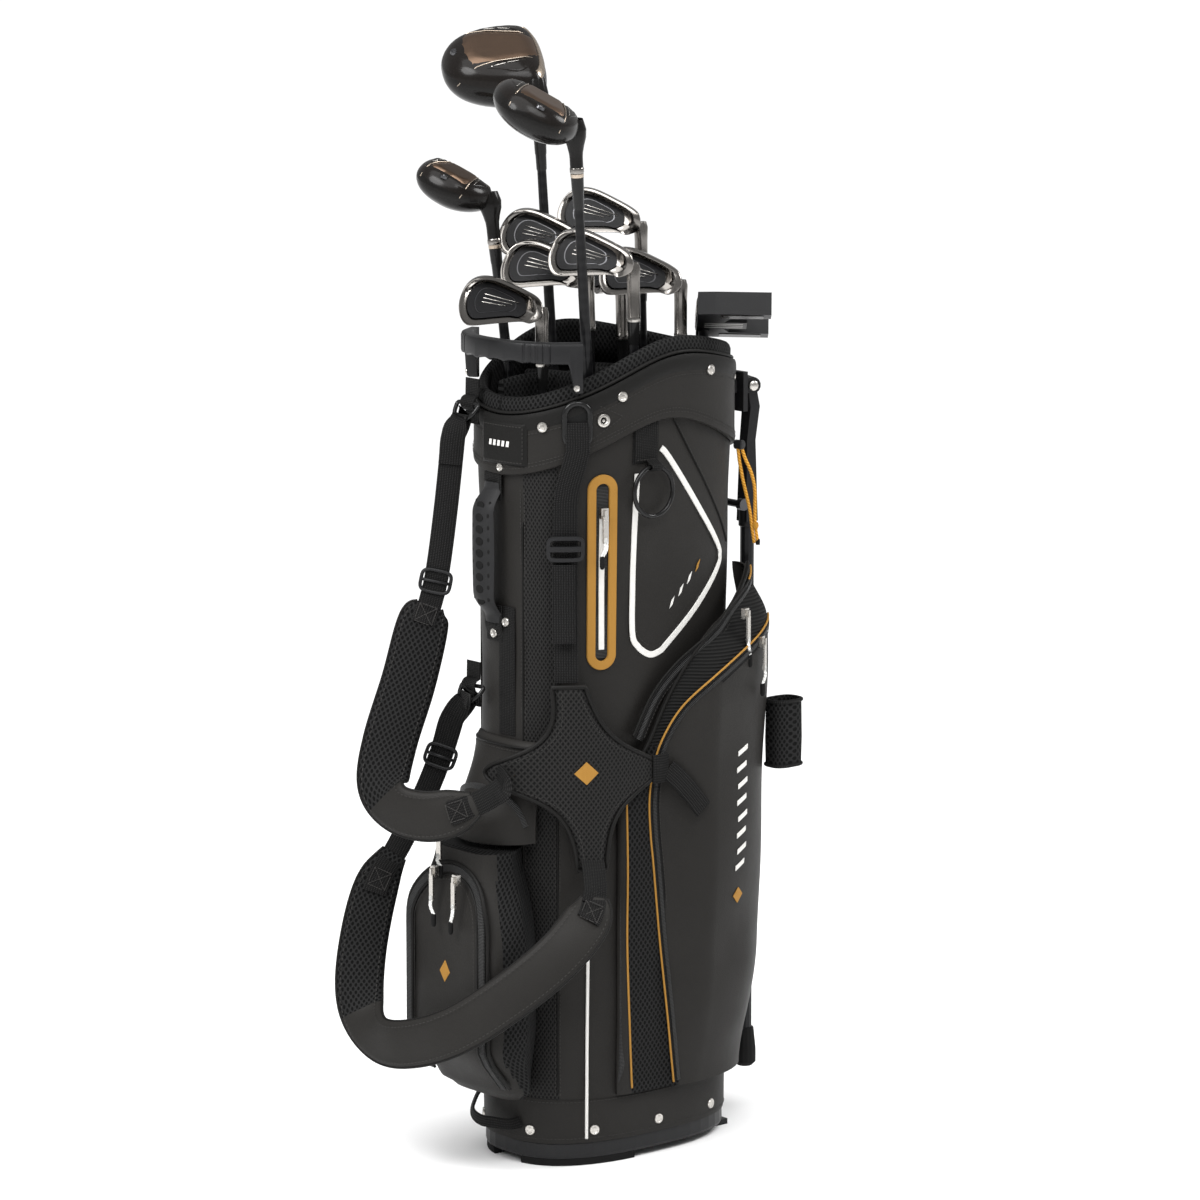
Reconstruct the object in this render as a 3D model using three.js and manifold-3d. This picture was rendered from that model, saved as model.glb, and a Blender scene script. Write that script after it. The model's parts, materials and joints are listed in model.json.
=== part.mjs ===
// Golf club set: a stand bag with its folding legs, straps and pockets, and eleven clubs standing in it.
// Millimetres, +Z up. The origin is on the floor under the middle of the base. The spine with the
// handles and the ball pocket faces -X, the folding legs are on +X and the long clothes pocket on -Y.
import * as THREE from 'three';
import { mergeVertices } from 'three/addons/utils/BufferGeometryUtils.js';
import Module from 'manifold-3d';

const wasm = await Module();
wasm.setup();

// ---- driving dimensions -------------------------------------------------------------------------
const GAP = 0.4; // clearance between touching pieces

// Plan outlines are superellipses: half length along X, half width along Y, exponent.
const BODY = { a: 137, b: 89, n: 2.6 };
const BASE = { a: 136, b: 86, n: 2.6 };
const CUFF = { a: 142, b: 102, n: 2.5 };

const FOOT_PAD_TOP = 7.6;
const BASE_WALL_BOTTOM = 8;
const BASE_FLANGE_TOP = 24;
const BASE_WALL_TOP = 70;
const DECK_BOTTOM = 28;
const DECK_TOP = 32;
const SLEEVE_WALL = 2.5;

const CUFF_WALL = 3.2;
const RIM_PAD_THICKNESS = 10;
const RIM_PAD_RISE = 19;
const RIM_PAD_DROP = 26;

const LIFT_HANDLE_TOP = 868;
const LIFT_HANDLE_HEIGHT = 22;
const LIFT_HANDLE_END = 97; // arc length from the spine to each end
const CARRY_HANDLE = { arc: -11, bottom: 572, top: 718, width: 34, depth: 21, thickness: 8 };

const LEG_PIVOT = { x: 165, y: 38, z: 798 };
const LEG_SPLAY = THREE.MathUtils.degToRad(20);
const LEG_HEAD_BOTTOM = 652;
const LEG_TUBE_BOTTOM = 84;
const LEG_TUBE_RADIUS = 7.5;
const ROD_X = 145;
const ROD_CROSSBAR_Z = 673;
const KICK_HINGE = { x: 62, z: 8 };
const EAR_TOP = 5; // top of the kick foot's ear, which the push rod bears on

const CLUB_FLOOR = DECK_TOP + 2; // height of every grip cap, clear of the deck when it leans
const CLUB_RIM = 830; // height at which the places of the shafts are given
const GRIP_LENGTH = 265;

// Clubs: length along the shaft, loft and lie in degrees, place of the shaft at the rim, lean of the
// shaft towards +X and +Y in degrees, and the heading of the toe in plan.
const CLUBS = [
  {
    name: 'driver', kind: 'wood', length: 1105, loft: 11, lie: 58,
    x: -11, y: 72, leanX: 0.1, leanY: 5.2, toe: 60,
  },
  {
    name: 'fairway_wood', kind: 'wood', length: 1078, loft: 15, lie: 58,
    x: -75, y: -62, leanX: -6.3, leanY: -3, toe: 137,
  },
  {
    name: 'hybrid', kind: 'wood', length: 990, loft: 21, lie: 59,
    x: -82, y: 59, leanX: -2.9, leanY: 6, toe: 112,
  },
  {
    name: 'iron_5', kind: 'iron', length: 946, loft: 24, lie: 61,
    x: 77, y: 30, leanX: -0.1, leanY: 1.1, toe: 139,
  },
  {
    name: 'iron_6', kind: 'iron', length: 930, loft: 27, lie: 61.5,
    x: 8, y: 39, leanX: -1.9, leanY: 0.4, toe: 138,
  },
  {
    name: 'iron_7', kind: 'iron', length: 917, loft: 31, lie: 62,
    x: -12, y: -61, leanX: -0.5, leanY: 0.1, toe: 140,
  },
  {
    name: 'iron_8', kind: 'iron', length: 904, loft: 35, lie: 62.5,
    x: -18, y: 2, leanX: -2.6, leanY: -0.3, toe: 136,
  },
  {
    name: 'iron_9', kind: 'iron', length: 891, loft: 39, lie: 63,
    x: 72, y: -37, leanX: 0.3, leanY: 0.4, toe: 143,
  },
  {
    name: 'pitching_wedge', kind: 'iron', length: 880, loft: 43, lie: 63.5,
    x: 75, y: 60, leanX: -0.3, leanY: 1, toe: 57,
  },
  {
    name: 'sand_wedge', kind: 'iron', length: 872, loft: 50, lie: 64,
    x: -90, y: -7, leanX: 1, leanY: 1.8, toe: 144,
  },
  {
    name: 'putter', kind: 'putter', length: 850, loft: 3, lie: 70,
    x: 106, y: -34, leanX: 0.8, leanY: -0.5, toe: -130,
  },
];

// Wood heads: width from heel to toe, depth from face to back, height, and the shaft's place on it.
const WOOD_HEADS = {
  driver: { width: 116, depth: 108, height: 60, heel: 18, hosel: 74 },
  fairway_wood: { width: 94, depth: 80, height: 42, heel: 15, hosel: 66 },
  hybrid: { width: 84, depth: 58, height: 38, heel: 13, hosel: 64 },
};
const IRON_HOSEL = 68;
const PUTTER_HOSEL = 62;
const HOSEL_RADIUS = 6.8;

// ---- materials ----------------------------------------------------------------------------------
function finish(color, roughness, metalness = 0) {
  return new THREE.MeshStandardMaterial({ color, roughness, metalness });
}

const COLOURS = {
  coated: () => finish(0x2e2c2a, 0.62),
  weave: () => finish(0x191919, 0.85),
  mesh: () => finish(0x121212, 0.95),
  webbing: () => finish(0x161616, 0.9),
  moulded: () => finish(0x1c1c1d, 0.45),
  rubber: () => finish(0x3d3f42, 0.75),
  steel: () => finish(0x8d8d8f, 0.3, 1),
  chrome: () => finish(0xd0d2d4, 0.12, 1),
  gunmetal: () => finish(0x55575a, 0.35, 1),
  glossBlack: () => finish(0x0c0b0b, 0.12),
  tube: () => finish(0x141415, 0.3, 0.4),
  bungee: () => finish(0xd98c1e, 0.7),
};

// ---- geometry helpers ---------------------------------------------------------------------------
function vector(x, y, z) {
  return new THREE.Vector3(x, y, z);
}

function smooth(value, low, high) {
  return THREE.MathUtils.smoothstep(value, low, high);
}

// Builds an indexed geometry and turns its faces outwards.
function solid(points, index) {
  const geometry = new THREE.BufferGeometry();
  geometry.setAttribute('position', new THREE.Float32BufferAttribute(points.flatMap((p) => p.toArray()), 3));
  let volume = 0;
  for (let i = 0; i < index.length; i += 3) {
    const [a, b, c] = [points[index[i]], points[index[i + 1]], points[index[i + 2]]];
    volume += a.dot(vector(0, 0, 0).crossVectors(b, c));
  }
  if (volume < 0) {
    index.reverse();
  }
  geometry.setIndex(index);
  return geometry;
}

// Skins a list of rings with equal point counts. A closed skin joins its last ring to its first.
function loft(rings, closed = false) {
  const count = rings[0].length;
  const points = rings.flat();
  const index = [];
  const spans = closed ? rings.length : rings.length - 1;
  for (let i = 0; i < spans; i++) {
    const here = i * count;
    const next = ((i + 1) % rings.length) * count;
    for (let j = 0; j < count; j++) {
      const k = (j + 1) % count;
      index.push(here + j, here + k, next + k, here + j, next + k, next + j);
    }
  }
  if (!closed) {
    for (const [ring, flip] of [[0, true], [rings.length - 1, false]]) {
      const middle = rings[ring].reduce((sum, p) => sum.add(p), vector(0, 0, 0)).divideScalar(count);
      const centre = points.push(middle) - 1;
      for (let j = 0; j < count; j++) {
        const a = ring * count + j;
        const b = ring * count + ((j + 1) % count);
        index.push(...(flip ? [b, a, centre] : [a, b, centre]));
      }
    }
  }
  return solid(points, index);
}

// A closed slab between two grids of points of the same size.
function slab(inner, outer) {
  const rows = inner.length;
  const columns = inner[0].length;
  const points = [...inner.flat(), ...outer.flat()];
  const far = rows * columns;
  const at = (i, j) => i * columns + j;
  const index = [];
  const quad = (a, b, c, d) => index.push(a, b, c, a, c, d);
  for (let i = 0; i < rows - 1; i++) {
    for (let j = 0; j < columns - 1; j++) {
      quad(at(i, j), at(i, j + 1), at(i + 1, j + 1), at(i + 1, j));
      quad(far + at(i, j), far + at(i + 1, j), far + at(i + 1, j + 1), far + at(i, j + 1));
    }
  }
  for (let j = 0; j < columns - 1; j++) {
    quad(at(0, j), far + at(0, j), far + at(0, j + 1), at(0, j + 1));
    quad(at(rows - 1, j), at(rows - 1, j + 1), far + at(rows - 1, j + 1), far + at(rows - 1, j));
  }
  for (let i = 0; i < rows - 1; i++) {
    quad(at(i, 0), at(i + 1, 0), far + at(i + 1, 0), far + at(i, 0));
    quad(at(i, columns - 1), far + at(i, columns - 1), far + at(i + 1, columns - 1), at(i + 1, columns - 1));
  }
  return solid(points, index);
}

// A point of a superellipse outline. Angle 0 is +X and the angle grows towards +Y.
function outlinePoint({ a, b, n }, angle) {
  const power = (value) => Math.sign(value) * Math.abs(value) ** (2 / n);
  return new THREE.Vector2(a * power(Math.cos(angle)), b * power(Math.sin(angle)));
}

// An outline measured by arc length from the spine at -X, positive round by -Y.
class Outline {
  constructor(shape, steps = 720) {
    this.points = [];
    for (let i = 0; i <= steps; i++) {
      this.points.push(outlinePoint(shape, Math.PI + (2 * Math.PI * i) / steps));
    }
    this.lengths = [0];
    for (let i = 1; i <= steps; i++) {
      this.lengths.push(this.lengths[i - 1] + this.points[i].distanceTo(this.points[i - 1]));
    }
    this.perimeter = this.lengths[steps];
  }

  // The point at arc length s, moved outwards by offset along the outline's normal.
  at(s, offset = 0) {
    const wanted = ((s % this.perimeter) + this.perimeter) % this.perimeter;
    let i = this.lengths.findIndex((length) => length > wanted);
    i = Math.max(i, 1);
    const [p, q] = [this.points[i - 1], this.points[i]];
    const share = (wanted - this.lengths[i - 1]) / (this.lengths[i] - this.lengths[i - 1]);
    const along = q.clone().sub(p).normalize();
    return new THREE.Vector2(
      p.x + (q.x - p.x) * share + along.y * offset,
      p.y + (q.y - p.y) * share - along.x * offset,
    );
  }
}

const bodyOutline = new Outline(BODY);
const cuffOutline = new Outline(CUFF);

// A hollow band round the whole bag. profile(angle) gives [outline, z] pairs round its section.
function band(profile, steps = 40) {
  const rings = [];
  for (let i = 0; i < steps; i++) {
    const angle = (2 * Math.PI * i) / steps;
    rings.push(profile(angle).map(([shape, z]) => {
      const p = outlinePoint(shape, angle);
      return vector(p.x, p.y, z);
    }));
  }
  return loft(rings, true);
}

function grown(shape, offset) {
  return { a: shape.a + offset, b: shape.b + offset, n: shape.n };
}

// A panel that follows an outline: u runs along it and v upwards. place(u, v) gives the arc
// length s, the height z and the inner and outer offsets from the outline.
function panel(outline, place, columns, rows) {
  const inner = [];
  const outer = [];
  for (let i = 0; i <= rows; i++) {
    const low = [];
    const high = [];
    for (let j = 0; j <= columns; j++) {
      const { s, z, from, to } = place(j / columns, i / rows);
      const p = outline.at(s, from);
      const q = outline.at(s, to);
      low.push(vector(p.x, p.y, z));
      high.push(vector(q.x, q.y, z));
    }
    inner.push(low);
    outer.push(high);
  }
  return slab(inner, outer);
}

// A flat strap along a route of { p, width, thick, turn } stations. Its face looks away from the
// bag's axis, and turns from there towards STRAP_FACE by the share that turn gives.
const STRAP_FACE = new THREE.Vector3(-0.64, -0.77, 0);

function strap(stations, steps) {
  const curve = new THREE.CatmullRomCurve3(stations.map(({ p }) => vector(...p)));
  const rings = [];
  for (let i = 0; i <= steps; i++) {
    const t = i / steps;
    const middle = curve.getPoint(t);
    const along = curve.getTangent(t);
    const span = t * (stations.length - 1);
    const k = Math.min(Math.floor(span), stations.length - 2);
    const turn = THREE.MathUtils.lerp(stations[k].turn ?? 0, stations[k + 1].turn ?? 0, span - k);
    const outward = vector(middle.x, middle.y, 0).normalize().lerp(STRAP_FACE, turn);
    const side = vector(0, 0, 0).crossVectors(along, outward).normalize();
    const face = vector(0, 0, 0).crossVectors(side, along).normalize();
    const width = THREE.MathUtils.lerp(stations[k].width, stations[k + 1].width, span - k);
    const thick = THREE.MathUtils.lerp(stations[k].thick, stations[k + 1].thick, span - k);
    rings.push([[-1, -1], [1, -1], [1, 1], [-1, 1]].map(([a, b]) => middle.clone()
      .addScaledVector(side, (a * width) / 2).addScaledVector(face, (b * thick) / 2)));
  }
  return loft(rings);
}

function circle(radius, sides) {
  const shape = new THREE.Shape();
  for (let i = 0; i < sides; i++) {
    const angle = (2 * Math.PI * i) / sides;
    const point = [radius * Math.cos(angle), radius * Math.sin(angle)];
    if (i === 0) {
      shape.moveTo(...point);
    } else {
      shape.lineTo(...point);
    }
  }
  shape.closePath();
  return shape;
}

function rod(points, radius, steps, sides = 8) {
  const path = new THREE.CatmullRomCurve3(points.map((p) => vector(...p)));
  return new THREE.ExtrudeGeometry(circle(radius, sides), { steps, extrudePath: path, bevelEnabled: false });
}

function bar(from, to, radius, sides = 10) {
  const path = new THREE.LineCurve3(vector(...from), vector(...to));
  const options = { steps: 1, extrudePath: path, bevelEnabled: false };
  return new THREE.ExtrudeGeometry(circle(radius, sides), options);
}

function box(x0, x1, y0, y1, z0, z1) {
  const geometry = new THREE.BoxGeometry(x1 - x0, y1 - y0, z1 - z0);
  geometry.translate((x0 + x1) / 2, (y0 + y1) / 2, (z0 + z1) / 2);
  return geometry;
}

// ---- joining and cutting ------------------------------------------------------------------------
function toManifold(source) {
  const geometry = source.clone();
  geometry.deleteAttribute('normal');
  geometry.deleteAttribute('uv');
  const merged = mergeVertices(geometry, 1e-4);
  return new wasm.Manifold(new wasm.Mesh({
    numProp: 3,
    vertProperties: new Float32Array(merged.attributes.position.array),
    triVerts: new Uint32Array(merged.index.array),
  }));
}

function fromManifold(manifold) {
  const mesh = manifold.getMesh();
  const geometry = new THREE.BufferGeometry();
  geometry.setAttribute('position', new THREE.BufferAttribute(mesh.vertProperties, 3));
  geometry.setIndex(new THREE.BufferAttribute(mesh.triVerts, 1));
  return geometry;
}

function join(...geometries) {
  return fromManifold(geometries.map(toManifold).reduce((all, one) => all.add(one)));
}

function cut(geometry, ...tools) {
  const whole = toManifold(geometry);
  return fromManifold(tools.map(toManifold).reduce((left, tool) => left.subtract(tool), whole));
}

const model = new THREE.Group();

function add(name, geometry, material, parent = model) {
  const mesh = new THREE.Mesh(geometry, material);
  mesh.name = name;
  parent.add(mesh);
  return mesh;
}

// ---- base and kick foot -------------------------------------------------------------------------
const RECESS_HALF = 53;

function addBase() {
  const ring = (shape, z) => Array.from({ length: 48 }, (_, i) => {
    const p = outlinePoint(shape, (2 * Math.PI * i) / 48);
    return vector(p.x, p.y, z);
  });
  const tray = loft([
    ring(grown(BASE, -12), DECK_BOTTOM),
    ring(grown(BASE, -10), BASE_WALL_BOTTOM),
    ring(grown(BASE, -1), BASE_WALL_BOTTOM),
    ring(BASE, BASE_WALL_BOTTOM + 3),
    ring(BASE, BASE_FLANGE_TOP),
    ring(grown(BASE, -5), BASE_FLANGE_TOP),
    ring(grown(BASE, -5), BASE_WALL_TOP),
    ring(grown(BASE, -8), BASE_WALL_TOP),
    ring(grown(BASE, -8), DECK_TOP),
  ]);
  const lugs = [-1, 1].map((side) => {
    const middle = side * (RECESS_HALF + 6);
    return box(KICK_HINGE.x - 7, KICK_HINGE.x + 7, middle - 4, middle + 4, 1.5, DECK_BOTTOM + 2);
  });
  const centreFoot = bar([0, 0, 0], [0, 0, DECK_BOTTOM + 2], 24, 24);
  const recess = box(BODY.a - 40, BODY.a + 10, -RECESS_HALF, RECESS_HALF, 0, DECK_BOTTOM);
  const pinHole = bar([KICK_HINGE.x, -80, KICK_HINGE.z], [KICK_HINGE.x, 80, KICK_HINGE.z], 2.9, 12);
  add('base_tray', cut(join(tray, centreFoot, ...lugs), recess, pinHole), COLOURS.moulded());
}

// A rubber pad under the tray's rim between two plan angles.
function footPad(startDegrees, endDegrees) {
  const steps = Math.round((endDegrees - startDegrees) / 6);
  const rings = [];
  for (let i = 0; i <= steps; i++) {
    const angle = THREE.MathUtils.degToRad(startDegrees + ((endDegrees - startDegrees) * i) / steps);
    const corner = (offset, z) => {
      const p = outlinePoint(grown(BASE, offset), angle);
      return vector(p.x, p.y, z);
    };
    const top = [corner(-1, FOOT_PAD_TOP), corner(-10, FOOT_PAD_TOP)];
    rings.push([corner(-9, 0), corner(-2, 0), corner(-1, 2), ...top]);
  }
  return loft(rings);
}

function addFootPads() {
  add('foot_pad_near', footPad(190, 262), COLOURS.rubber());
  add('foot_pad_far', footPad(98, 170), COLOURS.rubber());
}

function addKickFoot() {
  const plate = box(KICK_HINGE.x, BASE.a - 4, -48, 48, 0, 6);
  const ear = box(BASE.a - 10, ROD_X + 5, -7, 7, 1, EAR_TOP);
  const barrel = bar([KICK_HINGE.x, -48, KICK_HINGE.z], [KICK_HINGE.x, 48, KICK_HINGE.z], 7, 14);
  const bore = bar([KICK_HINGE.x, -60, KICK_HINGE.z], [KICK_HINGE.x, 60, KICK_HINGE.z], 2.9, 12);
  add('kick_foot', cut(join(plate, ear, barrel), bore), COLOURS.moulded());
  const half = RECESS_HALF + 11;
  const pin = bar([KICK_HINGE.x, -half, KICK_HINGE.z], [KICK_HINGE.x, half, KICK_HINGE.z], 2.5, 10);
  add('kick_foot_pin', pin, COLOURS.steel());
}

// ---- textile body -------------------------------------------------------------------------------
// Height of the cuff's upper edge, of its lower seam and of the top of the textile body.
function cuffTop(angle) {
  return 825 + 17 * Math.cos(angle) - 20 * Math.cos(2 * angle);
}

function cuffSeam(angle) {
  return 757 + 2 * Math.cos(angle) - 27 * Math.cos(2 * angle);
}

function sleeveShape(z) {
  const flare = smooth(z, 600, 800);
  const foot = 1 - smooth(z, 24, 160);
  return { a: BODY.a - 0.6 * foot, b: BODY.b + 6 * flare - 2.4 * foot, n: BODY.n };
}

function addSleeve() {
  const heights = (angle) => [BASE_FLANGE_TOP + GAP, 160, 600, cuffSeam(angle) - 25, cuffSeam(angle) + 14];
  const profile = (angle) => {
    const outer = heights(angle).map((z) => [sleeveShape(z), z]);
    const inner = outer.map(([shape, z]) => [grown(shape, -SLEEVE_WALL), z]).reverse();
    return [...outer, ...inner];
  };
  add('bag_sleeve', band(profile), COLOURS.weave());
}

function addCuff() {
  const profile = (angle) => {
    const [low, high] = [cuffSeam(angle), cuffTop(angle)];
    return [
      [CUFF, low],
      [CUFF, high - 2],
      [grown(CUFF, -1), high],
      [grown(CUFF, -CUFF_WALL), high],
      [grown(CUFF, -CUFF_WALL), low],
    ];
  };
  add('top_cuff', band(profile, 48), COLOURS.coated());
}

function addRimPad() {
  const outside = -CUFF_WALL - GAP;
  const inside = outside - RIM_PAD_THICKNESS;
  const profile = (angle) => {
    const high = cuffTop(angle);
    return [
      [grown(CUFF, outside), high - RIM_PAD_DROP],
      [grown(CUFF, outside), high + RIM_PAD_RISE - 5],
      [grown(CUFF, outside - 4), high + RIM_PAD_RISE],
      [grown(CUFF, inside + 4), high + RIM_PAD_RISE],
      [grown(CUFF, inside), high + RIM_PAD_RISE - 5],
      [grown(CUFF, inside), high - RIM_PAD_DROP],
    ];
  };
  add('rim_pad', band(profile), COLOURS.mesh());
}

// Ends of the bars in plan: one runs the length of the opening and three cross it.
const DIVIDER_BARS = [
  [-118, 26, -40, 26],
  [-48, 26, 44, 12],
  [40, 12, 118, 2],
  [-42, 76, -42, -76],
  [40, 80, 40, -80],
];

// Padded bars that part the opening into sections for the clubs.
function addDivider() {
  const [low, high] = [792, 822];
  const half = 4;
  const strut = (x0, y0, x1, y1) => {
    const along = new THREE.Vector2(x1 - x0, y1 - y0).normalize().multiplyScalar(half);
    const corners = (z) => [
      vector(x0 - along.y, y0 + along.x, z),
      vector(x0 + along.y, y0 - along.x, z),
      vector(x1 + along.y, y1 - along.x, z),
      vector(x1 - along.y, y1 + along.x, z),
    ];
    return loft([corners(low), corners(high)]);
  };
  add('divider', join(...DIVIDER_BARS.map((ends) => strut(...ends))), COLOURS.mesh());
}


// ---- handles ------------------------------------------------------------------------------------
function addLiftHandle() {
  const steps = 30;
  const rings = [];
  for (let i = 0; i <= steps; i++) {
    const s = -LIFT_HANDLE_END + (2 * LIFT_HANDLE_END * i) / steps;
    const reach = 1 - Math.abs(s) / LIFT_HANDLE_END;
    const from = 0.6 + 1.4 * smooth(reach, 0, 0.35);
    const low = LIFT_HANDLE_TOP - LIFT_HANDLE_HEIGHT - 30 * (1 - smooth(reach, 0.06, 0.14));
    const corner = (offset, z) => {
      const p = cuffOutline.at(s, offset);
      return vector(p.x, p.y, z);
    };
    rings.push([
      corner(from, low),
      corner(from + 10, low),
      corner(from + 12, low + 3),
      corner(from + 12, LIFT_HANDLE_TOP - 3),
      corner(from + 9, LIFT_HANDLE_TOP),
      corner(from, LIFT_HANDLE_TOP),
    ]);
  }
  add('lift_handle', loft(rings), COLOURS.moulded());
}

// A padded grip that stands off the spine on its two ends.
function addCarryHandle() {
  const { arc, bottom, top, width, depth, thickness } = CARRY_HANDLE;
  const place = (u, v) => {
    const reach = Math.sin(Math.PI * v) ** 0.5;
    const half = (width / 2) * (0.7 + 0.3 * reach);
    const from = GAP + (depth - thickness) * smooth(reach, 0.35, 0.8);
    const edge = Math.sin(Math.PI * THREE.MathUtils.clamp(u, 0.08, 0.92)) ** 0.5;
    return {
      s: arc + (u - 0.5) * 2 * half,
      z: THREE.MathUtils.lerp(bottom, top, v),
      from,
      to: from + thickness * (0.55 + 0.45 * edge),
    };
  };
  add('carry_handle', panel(bodyOutline, place, 6, 12), COLOURS.rubber());
}

// ---- rings --------------------------------------------------------------------------------------
// Sweeps a round wire along a closed curve.
function closedSweep(curve, radius, steps, sides) {
  const frames = curve.computeFrenetFrames(steps, true);
  const rings = [];
  for (let i = 0; i < steps; i++) {
    const middle = curve.getPoint(i / steps);
    rings.push(Array.from({ length: sides }, (_, j) => {
      const angle = (2 * Math.PI * j) / sides;
      return middle.clone()
        .addScaledVector(frames.normals[i], radius * Math.cos(angle))
        .addScaledVector(frames.binormals[i], radius * Math.sin(angle));
    }));
  }
  return loft(rings, true);
}

// A D-shaped ring whose straight side is centred on the origin, along Y, and which hangs outwards
// and down in the plane of X and Z at the given droop from the horizontal.
function dRing(size, wire, droopDegrees) {
  const half = size / 2;
  const droop = THREE.MathUtils.degToRad(droopDegrees);
  const out = vector(-Math.cos(droop), 0, -Math.sin(droop));
  const points = [vector(0, half, 0), vector(0, 0, 0), vector(0, -half, 0)];
  for (let i = 0; i <= 6; i++) {
    const angle = Math.PI * (0.04 + (0.92 * i) / 6);
    const reach = half * (0.3 + 0.9 * Math.sin(angle));
    points.push(vector(0, -half * 1.05 * Math.cos(angle), 0).addScaledVector(out, reach));
  }
  return closedSweep(new THREE.CatmullRomCurve3(points, true, 'catmullrom', 0.4), wire, 22, 6);
}

const D_RINGS = {
  d_ring_upper: { x: -146, y: 44, z: 796, size: 32, droop: 55 },
  d_ring_lower: { x: -141.5, y: 44, z: 500, size: 32, droop: 55 },
};

function addDRings() {
  for (const [name, { x, y, z, size, droop }] of Object.entries(D_RINGS)) {
    add(name, dRing(size, 2, droop), COLOURS.glossBlack()).position.set(x, y, z);
  }
}

const TOWEL_RING = { arc: 169, z: 709, radius: 26, wire: 2.2, offset: 12 };

function addTowelRing() {
  const { arc, z, radius, wire, offset } = TOWEL_RING;
  const place = bodyOutline.at(arc, offset);
  const geometry = new THREE.TorusGeometry(radius, wire, 6, 28);
  geometry.rotateX(Math.PI / 2);
  add('towel_ring', welded(geometry), COLOURS.glossBlack()).position.set(place.x, place.y, z);
}

// Turned and ring geometries repeat the vertices at their seam, so they are merged.
function welded(geometry) {
  geometry.deleteAttribute('normal');
  geometry.deleteAttribute('uv');
  return mergeVertices(geometry, 1e-4);
}

// ---- pockets ------------------------------------------------------------------------------------
const POCKET_GAP = 3.5; // clears the sleeve where it stands proud of the plain outline

const CLOTHES_POCKET_LOW = 74;

// Upper edge of the clothes pocket against arc length: it climbs from the front towards the legs.
function clothesPocketTop(s) {
  return THREE.MathUtils.lerp(402, 560, smooth(s, 120, 245)) + 54 * smooth(s, 225, 330);
}

// Offset of the clothes pocket's face. It bellies out towards the legs and draws in at its foot.
function clothesPocketFace(s, z) {
  const v = (z - CLOTHES_POCKET_LOW) / (clothesPocketTop(s) - CLOTHES_POCKET_LOW);
  const belly = 9 + 29 * smooth(s, 178, 232);
  const head = 0.5 + 0.5 * smooth(1 - v, 0, 0.1);
  const foot = 0.4 + 0.6 * smooth(v, 0, 0.25);
  return POCKET_GAP + 2 + belly * head * foot * (1 - 0.22 * (1 - smooth(v, 0.2, 0.85)));
}

function addClothesPocket() {
  const place = (u, v) => {
    const s = THREE.MathUtils.lerp(130, 326, u);
    const z = THREE.MathUtils.lerp(CLOTHES_POCKET_LOW, clothesPocketTop(s), v);
    return { s, z, from: POCKET_GAP, to: clothesPocketFace(s, z) };
  };
  add('clothes_pocket', panel(bodyOutline, place, 16, 14), COLOURS.coated());
}

// The ball pocket stands off the spine between flat sides, with an arched front.
function addBallPocket() {
  const rings = [];
  const levels = 9;
  for (let i = 0; i <= levels; i++) {
    const v = i / levels;
    const z = THREE.MathUtils.lerp(78, 342, v);
    const half = 80 * (0.84 + 0.16 * smooth(v, 0, 0.3)) * (1 - 0.38 * smooth(v, 0.62, 1));
    const front = -BODY.a - 42 - 36 * smooth(v, 0, 0.25) * (1 - 0.42 * smooth(v, 0.7, 1));
    const back = -BODY.a - POCKET_GAP;
    rings.push([
      vector(back, half * 0.62, z),
      vector(back - 18, half * 0.9, z),
      vector(front + 16, half, z),
      vector(front + 3, half * 0.88, z),
      vector(front, half * 0.6, z),
      vector(front, -half * 0.6, z),
      vector(front + 3, -half * 0.88, z),
      vector(front + 16, -half, z),
      vector(back - 18, -half * 0.9, z),
      vector(back, -half * 0.62, z),
    ]);
  }
  add('ball_pocket', loft(rings), COLOURS.coated());
}

function addAccessoryPocket() {
  const place = (u, v) => {
    const s = THREE.MathUtils.lerp(-52, 48, u);
    const z = THREE.MathUtils.lerp(348, 452, v);
    const roundness = Math.sin(Math.PI * THREE.MathUtils.clamp(u, 0.06, 0.94)) ** 0.6;
    const belly = 40 * (1 - smooth(v, 0.05, 1)) * roundness;
    return { s, z, from: POCKET_GAP, to: POCKET_GAP + 4 + belly };
  };
  add('accessory_pocket', panel(bodyOutline, place, 10, 8), COLOURS.coated());
}

const UMBRELLA_SLEEVE = { x: 170, y: -92, halfX: 19, halfY: 14, low: 396, high: 468, wall: 2 };

function addUmbrellaSleeve() {
  const { x, y, halfX, halfY, low, high, wall } = UMBRELLA_SLEEVE;
  const rings = [];
  for (let i = 0; i < 20; i++) {
    const angle = (2 * Math.PI * i) / 20;
    const corner = (offset, z) => {
      const p = outlinePoint({ a: halfX + offset, b: halfY + offset, n: 3 }, angle);
      return vector(x + p.x, y + p.y, z);
    };
    rings.push([corner(0, low), corner(0, high), corner(-wall, high), corner(-wall, low)]);
  }
  add('umbrella_sleeve', loft(rings, true), COLOURS.mesh());
}

// ---- carrying straps ----------------------------------------------------------------------------
const HUB = { low: 322, high: 514, half: 78 };

// Offset of the hub's underside from the body: it rises over the pocket under its spine arm.
function hubLift(s) {
  return 17 + 17 * (1 - smooth(s, 16, 70));
}

// Arc length of the hub's middle: its upper arm leans towards the spine.
function hubMiddle(v) {
  return 97 - 20 * v * v;
}

function addHub() {
  const place = (u, v) => {
    const waist = 1 / (1 + ((v - 0.52) / 0.15) ** 2);
    const half = 13 + (HUB.half - 13) * ((waist - 0.07) / 0.93) ** 1.15;
    const s = hubMiddle(v) + (u - 0.5) * 2 * half;
    return { s, z: THREE.MathUtils.lerp(HUB.low, HUB.high, v), from: hubLift(s), to: hubLift(s) + 6 };
  };
  add('strap_hub', panel(bodyOutline, place, 12, 14), COLOURS.mesh());
}

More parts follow.
